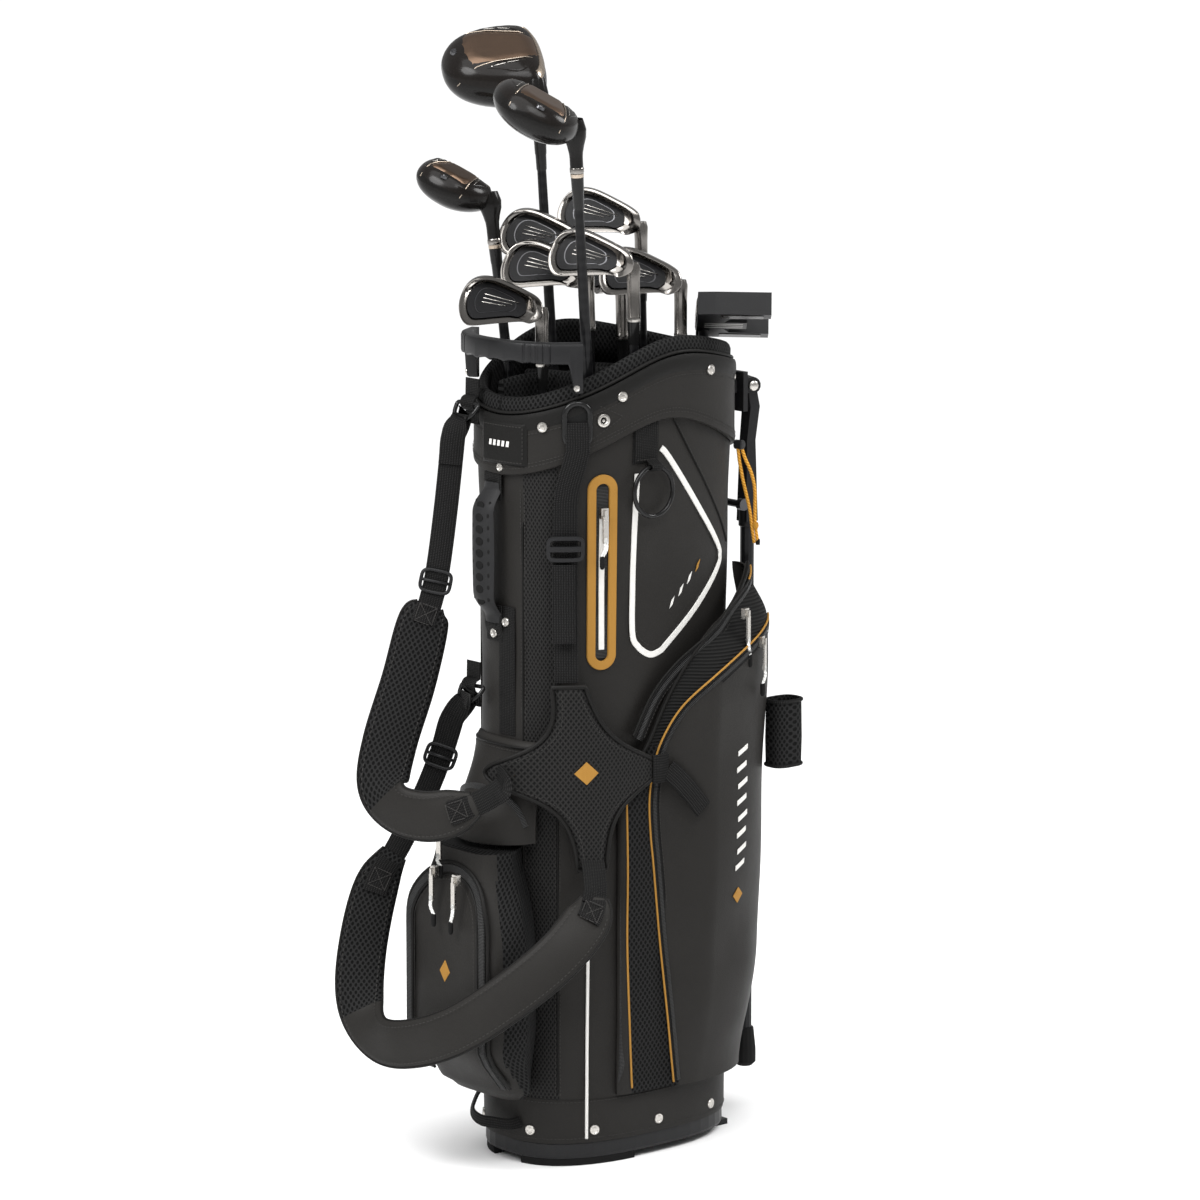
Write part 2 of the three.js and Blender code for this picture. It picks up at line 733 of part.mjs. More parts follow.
// Webbing from the slot in the cuff down to the hub's upper arm, with its ladder lock.
const FRONT_WEB = { width: 25, thick: 1.8, low: 518, high: 742, lock: 656 };

function frontWebArc(z) {
  return 75 + 16 * smooth(z, 700, 790);
}

function addFrontWeb() {
  const { width, thick, low, high, lock } = FRONT_WEB;
  const offset = (z) => 8 + 9 * (1 - smooth(z, low, 600)) + 4 * smooth(z, 640, 740);
  const piece = (from, to, rows) => panel(bodyOutline, (u, v) => {
    const z = THREE.MathUtils.lerp(from, to, v);
    return { s: frontWebArc(z) + (u - 0.5) * width, z, from: offset(z), to: offset(z) + thick };
  }, 2, rows);
  add('front_web', piece(low, high, 8), COLOURS.webbing());
  const lockBack = Math.max(offset(lock - 13), offset(lock + 13)) + thick + 3 * GAP;
  const plate = panel(bodyOutline, (u, v) => ({
    s: frontWebArc(lock) + (u - 0.5) * 33,
    z: lock - 13 + 26 * v,
    from: lockBack,
    to: lockBack + 4,
  }), 2, 1);
  add('ladder_lock', plate, COLOURS.moulded());
}

// Stations along each shoulder strap: place, width and thickness. Webbing at both ends, a pad between.
const UPPER_STRAP = [
  { p: [-163, 48, 764], width: 25, thick: 2, turn: 1 },
  { p: [-170, 52, 690], width: 25, thick: 2, turn: 1 },
  { p: [-178, 56, 625], width: 25, thick: 2, turn: 1 },
  { p: [-186, 58, 592], width: 28, thick: 3, turn: 1 },
  { p: [-194, 60, 572], width: 50, thick: 11, turn: 1 },
  { p: [-211, 64, 510], width: 54, thick: 12, turn: 1 },
  { p: [-234, 66, 450], width: 54, thick: 12, turn: 1 },
  { p: [-250, 58, 408], width: 52, thick: 12, turn: 0.8 },
  { p: [-254, 34, 388], width: 50, thick: 12, turn: 0.5 },
  { p: [-242, 2, 382], width: 50, thick: 12, turn: 0.2 },
  { p: [-226, -26, 388], width: 46, thick: 10 },
  { p: [-204, -46, 400], width: 26, thick: 3 },
  { p: [-184, -56, 412], width: 25, thick: 2 },
];
const LOWER_STRAP = [
  { p: [-160, 56, 466], width: 25, thick: 2, turn: 1 },
  { p: [-170, 64, 425], width: 25, thick: 2, turn: 1 },
  { p: [-182, 78, 380], width: 25, thick: 2, turn: 1 },
  { p: [-202, 94, 330], width: 27, thick: 3, turn: 1 },
  { p: [-226, 102, 288], width: 44, thick: 10, turn: 1 },
  { p: [-244, 104, 220], width: 48, thick: 11, turn: 1 },
  { p: [-258, 88, 168], width: 48, thick: 11, turn: 0.8 },
  { p: [-266, 48, 142], width: 48, thick: 11, turn: 0.5 },
  { p: [-262, -2, 146], width: 48, thick: 11, turn: 0.2 },
  { p: [-246, -56, 168], width: 48, thick: 11 },
  { p: [-212, -100, 206], width: 48, thick: 11 },
  { p: [-166, -124, 246], width: 48, thick: 11 },
  { p: [-126, -124, 280], width: 46, thick: 10 },
  { p: [-112, -118, 302], width: 27, thick: 3 },
];

function addShoulderStraps() {
  add('upper_strap', strap(UPPER_STRAP, 44), COLOURS.coated());
  add('lower_strap', strap(LOWER_STRAP, 48), COLOURS.coated());
}

// ---- zip sliders --------------------------------------------------------------------------------
// A slider with its hanging tab: y is the way out of the zip and z the way along it.
const SLIDER_TAB = 30;

function sliderGeometry() {
  const body = box(-4, 4, 0, 5, -5, 6);
  const bridge = box(-1.5, 1.5, 4.5, 8, -3.5, 4);
  const tab = box(-3, 3, 5.5, 7.5, -SLIDER_TAB, -2);
  return join(body, bridge, tab);
}

// Turns a slider to face along a plan direction and sets it down.
function addSlider(name, x, y, z, outward, tilt = 0) {
  const holder = new THREE.Group();
  holder.position.set(x, y, z);
  holder.rotation.set(0, 0, Math.atan2(outward[1], outward[0]) - Math.PI / 2);
  const tilted = new THREE.Group();
  tilted.rotation.y = tilt;
  holder.add(tilted);
  model.add(holder);
  add(name, sliderGeometry(), COLOURS.steel(), tilted);
}

function addOutlineSlider(name, s, z, offset) {
  const p = bodyOutline.at(s, offset);
  const q = bodyOutline.at(s, offset + 1);
  addSlider(name, p.x, p.y, z, [q.x - p.x, q.y - p.y]);
}

const BALL_ARCH = { x: -207, y: 0, z: 258, radius: 62 };

function addSliders() {
  addOutlineSlider('valuables_slider', 113, 690, 6);
  for (const [name, s, z] of [['clothes_slider_upper', 268, 571], ['clothes_slider_lower', 286, 538]]) {
    const offset = Math.max(clothesPocketFace(s, z), clothesPocketFace(s, z - SLIDER_TAB) - 4);
    addOutlineSlider(name, s, z, offset + 2 * GAP);
  }
  const p = { x: -BODY.a - 50, y: 18, z: 338 };
  addSlider('accessory_slider', p.x - 16, p.y, p.z + 22, [-1, -0.15]);
  for (const [name, degrees] of [['ball_slider_left', 112], ['ball_slider_right', 78]]) {
    const angle = THREE.MathUtils.degToRad(degrees);
    const y = BALL_ARCH.y + BALL_ARCH.radius * Math.cos(angle);
    const z = BALL_ARCH.z + BALL_ARCH.radius * Math.sin(angle);
    addSlider(name, BALL_ARCH.x - 9, y, z, [-1, 0]);
  }
}

// ---- folding stand ------------------------------------------------------------------------------
const LEG_SIDES = { near: -1, far: 1 };

// Unit vectors of one leg: the way its foot swings out, and its hinge axis.
function legDirections(side) {
  const swing = vector(Math.cos(LEG_SPLAY), side * Math.sin(LEG_SPLAY), 0);
  return { swing, axis: vector(side * Math.sin(LEG_SPLAY), -Math.cos(LEG_SPLAY), 0) };
}

function addBracket() {
  const x0 = CUFF.a + 1;
  const back = box(x0, x0 + 6, -56, 56, 772, 814);
  const parts = [back];
  const cutters = [];
  for (const side of Object.values(LEG_SIDES)) {
    const { swing, axis } = legDirections(side);
    const pivot = vector(LEG_PIVOT.x, side * LEG_PIVOT.y, LEG_PIVOT.z);
    for (const end of [-1, 1]) {
      const middle = pivot.clone().addScaledVector(axis, end * 12);
      const from = middle.clone().addScaledVector(axis, -2.5);
      const to = middle.clone().addScaledVector(axis, 2.5);
      parts.push(bar(from.toArray(), to.toArray(), 9, 14));
      const reach = (LEG_PIVOT.x - x0 - 2) / Math.cos(LEG_SPLAY);
      const cheekEnd = (along) => [[-2.4, -7], [2.4, -7], [2.4, 7], [-2.4, 7]].map(([a, b]) => {
        const corner = middle.clone().addScaledVector(swing, along).addScaledVector(axis, a);
        return corner.setZ(LEG_PIVOT.z + b);
      });
      parts.push(loft([cheekEnd(0), cheekEnd(-reach)]));
    }
    cutters.push(bar(
      pivot.clone().addScaledVector(axis, -20).toArray(),
      pivot.clone().addScaledVector(axis, 20).toArray(),
      3.1,
      12,
    ));
    const pin = bar([0, 0, -17], [0, 0, 17], 2.6, 10);
    const holder = new THREE.Group();
    holder.position.copy(pivot);
    holder.quaternion.setFromUnitVectors(vector(0, 0, 1), axis);
    model.add(holder);
    add(`leg_pin_${side < 0 ? 'near' : 'far'}`, pin, COLOURS.steel(), holder);
  }
  add('stand_bracket', cut(join(...parts), ...cutters), COLOURS.moulded());
}

function addLegs() {
  for (const [name, side] of Object.entries(LEG_SIDES)) {
    const { axis } = legDirections(side);
    const y = side * LEG_PIVOT.y;
    const pivot = vector(LEG_PIVOT.x, y, LEG_PIVOT.z);
    const eye = bar(
      pivot.clone().addScaledVector(axis, -8.5).toArray(),
      pivot.clone().addScaledVector(axis, 8.5).toArray(),
      9,
      14,
    );
    const neck = loft([
      [[-6, -7], [6, -7], [6, 7], [-6, 7]],
      [[-2, -7], [11, -7], [11, 7], [-2, 7]],
      [[-6, -6], [6, -6], [6, 6], [-6, 6]],
      [[-8, -8], [8, -8], [8, 8], [-8, 8]],
    ].map((ring, i) => ring.map(([dx, dy]) => vector(
      LEG_PIVOT.x + dx,
      y + dy,
      [LEG_PIVOT.z - 3, LEG_PIVOT.z - 24, LEG_PIVOT.z - 60, LEG_HEAD_BOTTOM][i],
    ))));
    const bore = bar(
      pivot.clone().addScaledVector(axis, -12).toArray(),
      pivot.clone().addScaledVector(axis, 12).toArray(),
      3,
      12,
    );
    const tubeTop = [LEG_PIVOT.x, y, LEG_HEAD_BOTTOM + 10];
    const tube = bar(tubeTop, [LEG_PIVOT.x, y, LEG_TUBE_BOTTOM], LEG_TUBE_RADIUS, 12);
    add(`leg_${name}`, cut(join(eye, neck, tube), bore), COLOURS.tube());
    const foot = new THREE.LatheGeometry([
      [0, -26], [8, -26], [12, -22], [12, -8], [9.5, 16], [8.2, 16], [8.2, -0.4], [0, -0.4],
    ].map(([r, h]) => new THREE.Vector2(r, h)), 14);
    foot.rotateX(Math.PI / 2);
    add(`leg_foot_${name}`, welded(foot), COLOURS.rubber()).position.set(LEG_PIVOT.x, y, LEG_TUBE_BOTTOM);
  }
}

function addPushRod() {
  const upright = bar([ROD_X, 0, EAR_TOP + 1.4], [ROD_X, 0, ROD_CROSSBAR_Z], 2.6, 10);
  const crossbar = bar([ROD_X, -52, ROD_CROSSBAR_Z], [ROD_X, 52, ROD_CROSSBAR_Z], 4, 12);
  const knobs = [-1, 1].map((side) => bar(
    [ROD_X, side * 49, ROD_CROSSBAR_Z],
    [ROD_X, side * 56, ROD_CROSSBAR_Z],
    6.5,
    12,
  ));
  add('push_rod', join(upright, crossbar, ...knobs), COLOURS.moulded());
}

// Elastic cord that hangs from under the cuff beside the near leg, doubled and knotted at its end.
const BUNGEE = [
  [119, -79, 742],
  [124, -80, 728],
  [131, -82, 712],
  [138, -80, 694],
  [142, -76, 676],
  [146, -72, 655],
  [150, -72, 634],
];

function addBungee() {
  add('bungee', rod(BUNGEE, 1.8, 18), COLOURS.bungee());
}

// ---- clubs --------------------------------------------------------------------------------------
// A club is built along its own shaft: +Z from the grip cap to the head, +X towards the toe.
function clubGroup({ x, y, leanX, leanY, toe }) {
  const slopeX = Math.tan(THREE.MathUtils.degToRad(leanX));
  const slopeY = Math.tan(THREE.MathUtils.degToRad(leanY));
  const drop = CLUB_FLOOR - CLUB_RIM;
  const up = vector(slopeX, slopeY, 1).normalize();
  const heading = THREE.MathUtils.degToRad(toe);
  const side = vector(Math.cos(heading), Math.sin(heading), 0);
  side.addScaledVector(up, -side.dot(up)).normalize();
  const back = vector(0, 0, 0).crossVectors(up, side);
  const group = new THREE.Group();
  group.applyMatrix4(new THREE.Matrix4().makeBasis(side, back, up));
  group.position.set(x + slopeX * drop, y + slopeY * drop, CLUB_FLOOR);
  model.add(group);
  return group;
}

// The head's own frame has its origin where the shaft's axis meets the sole: X to the toe,
// Y from the sole to the crown and Z to the back.
function headGroup(parent, { length, lie }) {
  const angle = THREE.MathUtils.degToRad(lie);
  const group = new THREE.Group();
  group.applyMatrix4(new THREE.Matrix4().makeBasis(
    vector(Math.sin(angle), 0, Math.cos(angle)),
    vector(Math.cos(angle), 0, -Math.sin(angle)),
    vector(0, 1, 0),
  ));
  group.position.z = length;
  parent.add(group);
  return group;
}

// A cylinder on the shaft's axis, between two distances from the sole, in the head's frame.
function hosel(lie, from, to, radius) {
  const angle = THREE.MathUtils.degToRad(lie);
  const at = (q) => [-Math.cos(angle) * q, Math.sin(angle) * q, 0];
  return bar(at(from), at(to), radius, 14);
}

function woodHead({ name, lie }) {
  const { width, depth, height, heel, hosel: hoselLength } = WOOD_HEADS[name];
  const middle = width / 2 - heel;
  const front = -0.15 * depth;
  const widest = front + 0.26 * depth;
  const levels = [
    [0, 0.6], [0.06, 0.78], [0.2, 0.92], [0.42, 1],
    [0.62, 0.96], [0.8, 0.8], [0.93, 0.52], [1, 0.2],
  ];
  const rings = levels.map(([level, scale]) => Array.from({ length: 20 }, (_, i) => {
    const angle = (2 * Math.PI * i) / 20;
    const [c, s] = [Math.cos(angle), Math.sin(angle)];
    const across = Math.sign(c) * Math.abs(c) ** 0.8 * (width / 2);
    const along = s < 0 ? -(Math.abs(s) ** 0.55) * (widest - front) : s ** 0.95 * (front + depth - widest);
    const shift = (1 - scale) * 0.18 * depth;
    return vector(middle + across * scale, height * level, widest + along * scale + shift);
  }));
  return join(loft(rings), hosel(lie, height * 0.45, hoselLength, HOSEL_RADIUS));
}

function ironHead({ loft: loftDegrees, lie }) {
  const outline = [
    [-7, 16], [-2, 5], [7, 0.6], [30, 0], [54, 1.5], [69, 8], [77, 20], [78, 36], [73, 48], [65, 54],
    [56, 52.5], [32, 40], [12, 30], [1, 27],
  ];
  const slope = Math.tan(THREE.MathUtils.degToRad(loftDegrees));
  const face = (y) => -5 + y * slope;
  const thickness = (y) => 17 - 12 * smooth(y, 0, 30);
  const ring = (offset) => outline.map(([x, y]) => vector(x, y, face(y) + offset(y)));
  return join(loft([ring(() => 0), ring(thickness)]), hosel(lie, 5, IRON_HOSEL, HOSEL_RADIUS));
}

function putterHead({ lie }) {
  const shape = new THREE.Shape();
  const outline = [
    [-34, -8], [66, -8], [68, 10], [68, 68], [50, 68], [46, 26], [30, 20], [30, 44], [2, 44], [2, 20],
    [-14, 26], [-18, 68], [-36, 68], [-36, 10],
  ];
  outline.forEach(([x, z], i) => (i === 0 ? shape.moveTo(x, z) : shape.lineTo(x, z)));
  const body = new THREE.ExtrudeGeometry(shape, { depth: 24, bevelEnabled: false });
  body.rotateX(Math.PI / 2);
  body.translate(0, 24, 0);
  return join(body, hosel(lie, 16, PUTTER_HOSEL, 5.5));
}

// Shaft, ferrule and grip turned about the shaft's axis.
function shaftGeometry(length, top) {
  const profile = [
    [0, 0], [12.2, 0], [13, 4], [12.4, 12], [9.6, GRIP_LENGTH],
    [7.6, GRIP_LENGTH + 1], [7.4, GRIP_LENGTH + 60],
    [4.8, length - top - 26], [5.2, length - top - 25], [6.6, length - top - GAP], [0, length - top - GAP],
  ];
  const geometry = new THREE.LatheGeometry(profile.map(([r, z]) => new THREE.Vector2(r, z)), 10);
  geometry.rotateX(Math.PI / 2);
  return welded(geometry);
}

const HEADS = {
  wood: { build: woodHead, top: (club) => WOOD_HEADS[club.name].hosel, look: 'glossBlack' },
  iron: { build: ironHead, top: () => IRON_HOSEL, look: 'chrome' },
  putter: { build: putterHead, top: () => PUTTER_HOSEL, look: 'gunmetal' },
};

function addClubs() {
  for (const club of CLUBS) {
    const { build, top, look } = HEADS[club.kind];
    const group = clubGroup(club);
    add(`${club.name}_shaft`, shaftGeometry(club.length, top(club)), COLOURS.tube(), group);
    add(`${club.name}_head`, build(club), COLOURS[look](), headGroup(group, club));
  }
}

// ---- assembly -----------------------------------------------------------------------------------
addBase();
addFootPads();
addKickFoot();
addSleeve();
addCuff();
addRimPad();
addDivider();
addLiftHandle();
addCarryHandle();
addDRings();
addTowelRing();
addClothesPocket();
addBallPocket();
addAccessoryPocket();
addUmbrellaSleeve();
addHub();
addFrontWeb();
addShoulderStraps();
addSliders();
addBracket();
addLegs();
addPushRod();
addBungee();
addClubs();

export default model;
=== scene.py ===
"""Looks of the golf club set: a stand bag with eleven clubs. Metres, in the CAD frame."""
import json
import math

import bmesh
import bpy
import numpy as np
from mathutils import Matrix, Vector


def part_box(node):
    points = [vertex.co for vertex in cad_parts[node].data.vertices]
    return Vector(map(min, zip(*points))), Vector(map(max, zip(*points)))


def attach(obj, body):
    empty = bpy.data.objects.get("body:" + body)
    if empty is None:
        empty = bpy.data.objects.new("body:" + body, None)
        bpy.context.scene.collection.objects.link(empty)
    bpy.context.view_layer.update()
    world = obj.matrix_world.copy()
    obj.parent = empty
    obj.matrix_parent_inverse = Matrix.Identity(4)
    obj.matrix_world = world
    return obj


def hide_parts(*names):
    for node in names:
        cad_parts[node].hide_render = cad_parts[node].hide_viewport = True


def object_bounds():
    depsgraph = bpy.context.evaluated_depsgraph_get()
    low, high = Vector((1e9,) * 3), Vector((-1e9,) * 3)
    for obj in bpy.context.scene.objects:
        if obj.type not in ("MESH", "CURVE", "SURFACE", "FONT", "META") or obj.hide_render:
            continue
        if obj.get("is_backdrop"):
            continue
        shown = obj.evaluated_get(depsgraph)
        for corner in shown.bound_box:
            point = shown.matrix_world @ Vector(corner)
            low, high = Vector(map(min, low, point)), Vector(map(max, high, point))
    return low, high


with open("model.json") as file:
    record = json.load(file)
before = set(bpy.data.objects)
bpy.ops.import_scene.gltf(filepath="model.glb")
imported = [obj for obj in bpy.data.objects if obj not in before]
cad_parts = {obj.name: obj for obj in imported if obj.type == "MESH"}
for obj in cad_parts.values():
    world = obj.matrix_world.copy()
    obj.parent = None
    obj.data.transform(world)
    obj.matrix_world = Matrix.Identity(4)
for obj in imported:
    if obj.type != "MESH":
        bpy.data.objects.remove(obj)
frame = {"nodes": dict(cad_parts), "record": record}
CAD_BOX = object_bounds()
RECORD = frame["record"]
JOINTS = {joint["name"]: joint for joint in RECORD["behaviour"]["joints"]}
SCENE = bpy.context.scene
MM = 0.001
UP = Vector((0, 0, 1))

# ---- the photograph's camera, the floor and the light ------------------------------------------
CAMERA_AZIMUTH = math.radians(-40)
CAMERA_ELEVATION = math.radians(10)
CAMERA_DISTANCE = 5.5
CAMERA_LENS = 157.6
TARGET_HEIGHT = 0.58
TARGET_SHIFT = -0.005


def direction(azimuth, elevation):
    """Unit vector from the object towards a viewer."""
    flat = math.cos(elevation)
    return Vector((math.sin(azimuth) * flat, -math.cos(azimuth) * flat, math.sin(elevation)))


def add_camera():
    data = bpy.data.cameras.new("camera")
    data.lens = CAMERA_LENS
    data.sensor_width = 36
    data.clip_end = 50
    camera = bpy.data.objects.new("camera", data)
    towards = direction(CAMERA_AZIMUTH, CAMERA_ELEVATION)
    right = Vector((math.cos(CAMERA_AZIMUTH), math.sin(CAMERA_AZIMUTH), 0))
    target = UP * TARGET_HEIGHT + right * TARGET_SHIFT
    camera.location = target + towards * CAMERA_DISTANCE
    camera.rotation_euler = towards.to_track_quat("Z", "Y").to_euler()
    SCENE.collection.objects.link(camera)
    SCENE.camera = camera


def area_light(name, azimuth, elevation, distance, size, power):
    data = bpy.data.lights.new(name, "AREA")
    data.shape = "DISK"
    data.size = size
    data.energy = power
    light = bpy.data.objects.new(name, data)
    towards = direction(math.radians(azimuth), math.radians(elevation))
    light.location = UP * 0.6 + towards * distance
    light.rotation_euler = towards.to_track_quat("Z", "Y").to_euler()
    SCENE.collection.objects.link(light)


def add_light():
    world = bpy.data.worlds.new("studio")
    world.use_nodes = True
    world.node_tree.nodes["Background"].inputs["Color"].default_value = (1, 1, 1, 1)
    world.node_tree.nodes["Background"].inputs["Strength"].default_value = 0.38
    SCENE.world = world
    area_light("key", -95, 40, 2.6, 1.2, 46)
    area_light("front", -15, 48, 3.0, 1.4, 30)
    area_light("side", 60, 35, 2.6, 1.0, 34)
    sun = bpy.data.lights.new("sky", "SUN")
    sun.energy = 2.9
    sun.angle = math.radians(70)
    lamp = bpy.data.objects.new("sky", sun)
    lamp.rotation_euler = direction(math.radians(-60), math.radians(62)).to_track_quat("Z", "Y").to_euler()
    SCENE.collection.objects.link(lamp)
    SCENE.view_settings.view_transform = "Standard"


# ---- curves and outlines -----------------------------------------------------------------------
def smooth(value, low, high):
    """0 below low, 1 above high, and a smooth step between."""
    t = min(max((value - low) / (high - low), 0.0), 1.0)
    return t * t * (3 - 2 * t)


def lerp(a, b, t):
    return a + (b - a) * t


def rounded(value, power):
    """A power that keeps the sign: under 1 it squares a circle's cosines and sines up."""
    return math.copysign(abs(value) ** power, value)


def spline(points, steps, closed=False):
    """Catmull-Rom samples through points of any dimension."""
    p = np.array(points, dtype=float)
    count = len(p)
    spans = count if closed else count - 1
    out = []
    for k in range(steps if closed else steps + 1):
        x = spans * k / steps
        i = min(int(x), spans - 1)
        t = x - i
        if closed:
            a, b, c, d = (p[(i + o) % count] for o in (-1, 0, 1, 2))
        else:
            a, b, c, d = p[max(i - 1, 0)], p[i], p[i + 1], p[min(i + 2, count - 1)]
        out.append(
            0.5 * (2 * b + (c - a) * t + (2 * a - 5 * b + 4 * c - d) * t**2 + (3 * b - a - 3 * c + d) * t**3)
        )
    return out


class Outline:
    """A plan superellipse measured by arc length from the spine at -X, positive round by -Y."""

    def __init__(self, a, b, n, steps=1440):
        angle = math.pi + 2 * math.pi * np.arange(steps + 1) / steps
        self.x = a * np.sign(np.cos(angle)) * np.abs(np.cos(angle)) ** (2 / n)
        self.y = b * np.sign(np.sin(angle)) * np.abs(np.sin(angle)) ** (2 / n)
        dx, dy = np.gradient(self.x), np.gradient(self.y)
        length = np.hypot(dx, dy)
        self.nx, self.ny = dy / length, -dx / length
        self.s = np.concatenate([[0], np.cumsum(np.hypot(np.diff(self.x), np.diff(self.y)))])
        self.perimeter = self.s[-1]

    def normal(self, s):
        s = s % self.perimeter
        n = Vector((np.interp(s, self.s, self.nx), np.interp(s, self.s, self.ny), 0))
        return n.normalized()

    def at(self, s, z, offset=0.0):
        n = self.normal(s)
        s = s % self.perimeter
        return Vector((np.interp(s, self.s, self.x), np.interp(s, self.s, self.y), z)) + n * offset


BODY = Outline(0.137, 0.089, 2.6)
CUFF = Outline(0.142, 0.102, 2.5)


def skin(s, z):
    """How far the textile body stands off the plain outline: it flares up to the collar."""
    n = BODY.normal(s)
    foot = 1 - smooth(z, 0.024, 0.16)
    return abs(n.y) * (0.006 * smooth(z, 0.6, 0.8) - 0.0024 * foot) - 0.0006 * foot * abs(n.x)


def on_body(s, z, offset=0.0):
    return BODY.at(s, z, skin(s, z) + offset)


def plan_angle(outline, s):
    """Angle in plan of a place on an outline, seen from the bag's axis."""
    p = outline.at(s, 0)
    return math.atan2(p.y, p.x)


def cuff_top(s):
    """Height of the collar's upper edge: highest at the sides, lowest at the spine."""
    a = plan_angle(CUFF, s)
    return 0.825 + 0.017 * math.cos(a) - 0.020 * math.cos(2 * a)


def cuff_seam(s):
    """Height of the seam between the collar and the body: highest at the sides."""
    a = plan_angle(CUFF, s)
    return 0.757 + 0.002 * math.cos(a) - 0.027 * math.cos(2 * a)


# ---- mesh making -------------------------------------------------------------------------------
def build(name, verts, faces, uvs, materials, body="bag", slot="coated", indices=None, sharp=40, fix=True):
    """A mesh object in the row frame that rides on a body. One UV unit is a metre."""
    mesh = bpy.data.meshes.new(name)
    mesh.from_pydata([tuple(v) for v in verts], [], faces)
    layer = mesh.uv_layers.new(name="UVMap")
    vertex = np.empty(len(mesh.loops), dtype=int)
    mesh.loops.foreach_get("vertex_index", vertex)
    layer.data.foreach_set("uv", np.array([uvs[i] for i in vertex], dtype=float).ravel())
    for material in materials if isinstance(materials, list) else [materials]:
        mesh.materials.append(material)
    if indices is not None:
        mesh.polygons.foreach_set("material_index", indices)
    if fix:
        edit = bmesh.new()
        edit.from_mesh(mesh)
        bmesh.ops.recalc_face_normals(edit, faces=edit.faces)
        edit.to_mesh(mesh)
        edit.free()
    mesh.polygons.foreach_set("use_smooth", [True] * len(mesh.polygons))
    if sharp < 180:
        mesh.set_sharp_from_angle(angle=math.radians(sharp))
    piece = bpy.data.objects.new(name, mesh)
    SCENE.collection.objects.link(piece)
    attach(piece, body)
    return piece


def bevel(piece, width, segments=2, angle=35):
    modifier = piece.modifiers.new("bevel", "BEVEL")
    modifier.width = width
    modifier.segments = segments
    modifier.limit_method = "ANGLE"
    modifier.angle_limit = math.radians(angle)
    modifier.harden_normals = False
    return piece


def loft(name, rings, uv_rings, materials, closed=False, caps=True, pick=None, **options):
    """Skins rings of equal point counts. pick(i, j) chooses the material of a face."""
    count = len(rings[0])
    verts = [p for ring in rings for p in ring]
    uvs = [uv for ring in uv_rings for uv in ring]
    faces, indices = [], []
    for i in range(len(rings) if closed else len(rings) - 1):
        here, there = i * count, ((i + 1) % len(rings)) * count
        for j in range(count):
            k = (j + 1) % count
            faces.append((here + j, here + k, there + k, there + j))
            indices.append(pick(i, j) if pick else 0)
    if not closed and caps:
        last = (len(rings) - 1) * count
        faces += [tuple(range(count)), tuple(range(last, last + count))]
        indices += [indices[0], indices[-1]]
    return build(name, verts, faces, uvs, materials, indices=indices, **options)


def patch(name, place, columns, rows, materials, depth=0.0, pick=None, where=on_body, **options):
    """A skin on the bag. place(u, v) gives arc length, height and offset; its rim drops by depth."""
    rows_of_places = [[place(j / columns, i / rows) for j in range(columns + 1)] for i in range(rows + 1)]
    verts = [where(*p) for row in rows_of_places for p in row]
    uvs = [(p[0], p[1]) for row in rows_of_places for p in row]
    faces, indices = [], []

    def at(i, j):
        return i * (columns + 1) + j

    for i in range(rows):
        for j in range(columns):
            faces.append((at(i, j), at(i, j + 1), at(i + 1, j + 1), at(i + 1, j)))
            indices.append(pick(*rows_of_places[i][j][:2]) if pick else 0)
    if depth:
        rim = [(0, j) for j in range(columns)] + [(i, columns) for i in range(rows)]
        rim += [(rows, j) for j in range(columns, 0, -1)] + [(i, 0) for i in range(rows, 0, -1)]
        start = len(verts)
        for i, j in rim:
            s, z, offset = rows_of_places[i][j]
            verts.append(where(s, z, offset - depth))
            uvs.append((s + depth, z + depth))
        for k, (i, j) in enumerate(rim):
            m = (k + 1) % len(rim)
            faces.append((at(*rim[m]), at(i, j), start + k, start + m))
            indices.append(0)
    return build(name, verts, faces, uvs, materials, indices=indices, **options)


def frames(points, normals, closed=False):
    """Tangent, side and face direction at each point of a route."""
    out = []
    last = len(points) - 1
    for i in range(len(points)):
        before = points[i - 1] if closed or i > 0 else points[i]
        after = points[(i + 1) % len(points)] if closed or i < last else points[i]
        along = (after - before).normalized()
        side = along.cross(normals[i]).normalized()
        out.append((along, side, side.cross(along).normalized()))
    return out


FLAT = [(-0.5, -0.5), (-0.5, 0.15), (-0.44, 0.5), (0.44, 0.5), (0.5, 0.15), (0.5, -0.5)]


def ribbon(name, points, normals, width, thick, materials, closed=False, section=FLAT, **options):
    """A strip along a route. Its width and thickness are numbers."""
    rings, uv_rings, travelled = [], [], 0.0
    for i, (_, side, face) in enumerate(frames(points, normals, closed)):
        travelled += (points[i] - points[i - 1]).length if i else 0
        rings.append([points[i] + side * (a * width) + face * (b * thick) for a, b in section])
        uv_rings.append([(a * width, travelled) for a, _ in section])
    return loft(name, rings, uv_rings, materials, closed=closed, **options)


def turn_angles(count):
    """Equal steps of a full turn."""
    return [2 * math.pi * k / count for k in range(count)]


def round_section(sides):
    return [(0.5 * math.cos(a), 0.5 * math.sin(a)) for a in turn_angles(sides)]


def tube(name, points, radius, material, closed=False, sides=10, **options):
    """A round cord or wire along a route, with its frames carried along without twist."""
    along = (points[1] - points[0]).normalized()
    normal = along.orthogonal().normalized()
    normals = []
    for i in range(len(points)):
        j = min(i + 1, len(points) - 1) if not closed else (i + 1) % len(points)
        step = points[j] - points[i - 1 if i or closed else 0]
        if step.length > 1e-9:
            along = step.normalized()
        normal = (normal - along * normal.dot(along)).normalized()
        normals.append(normal.copy())
    width = 2 * radius
    section = round_section(sides)
    return ribbon(name, points, normals, width, width, material, closed, section, sharp=180, **options)


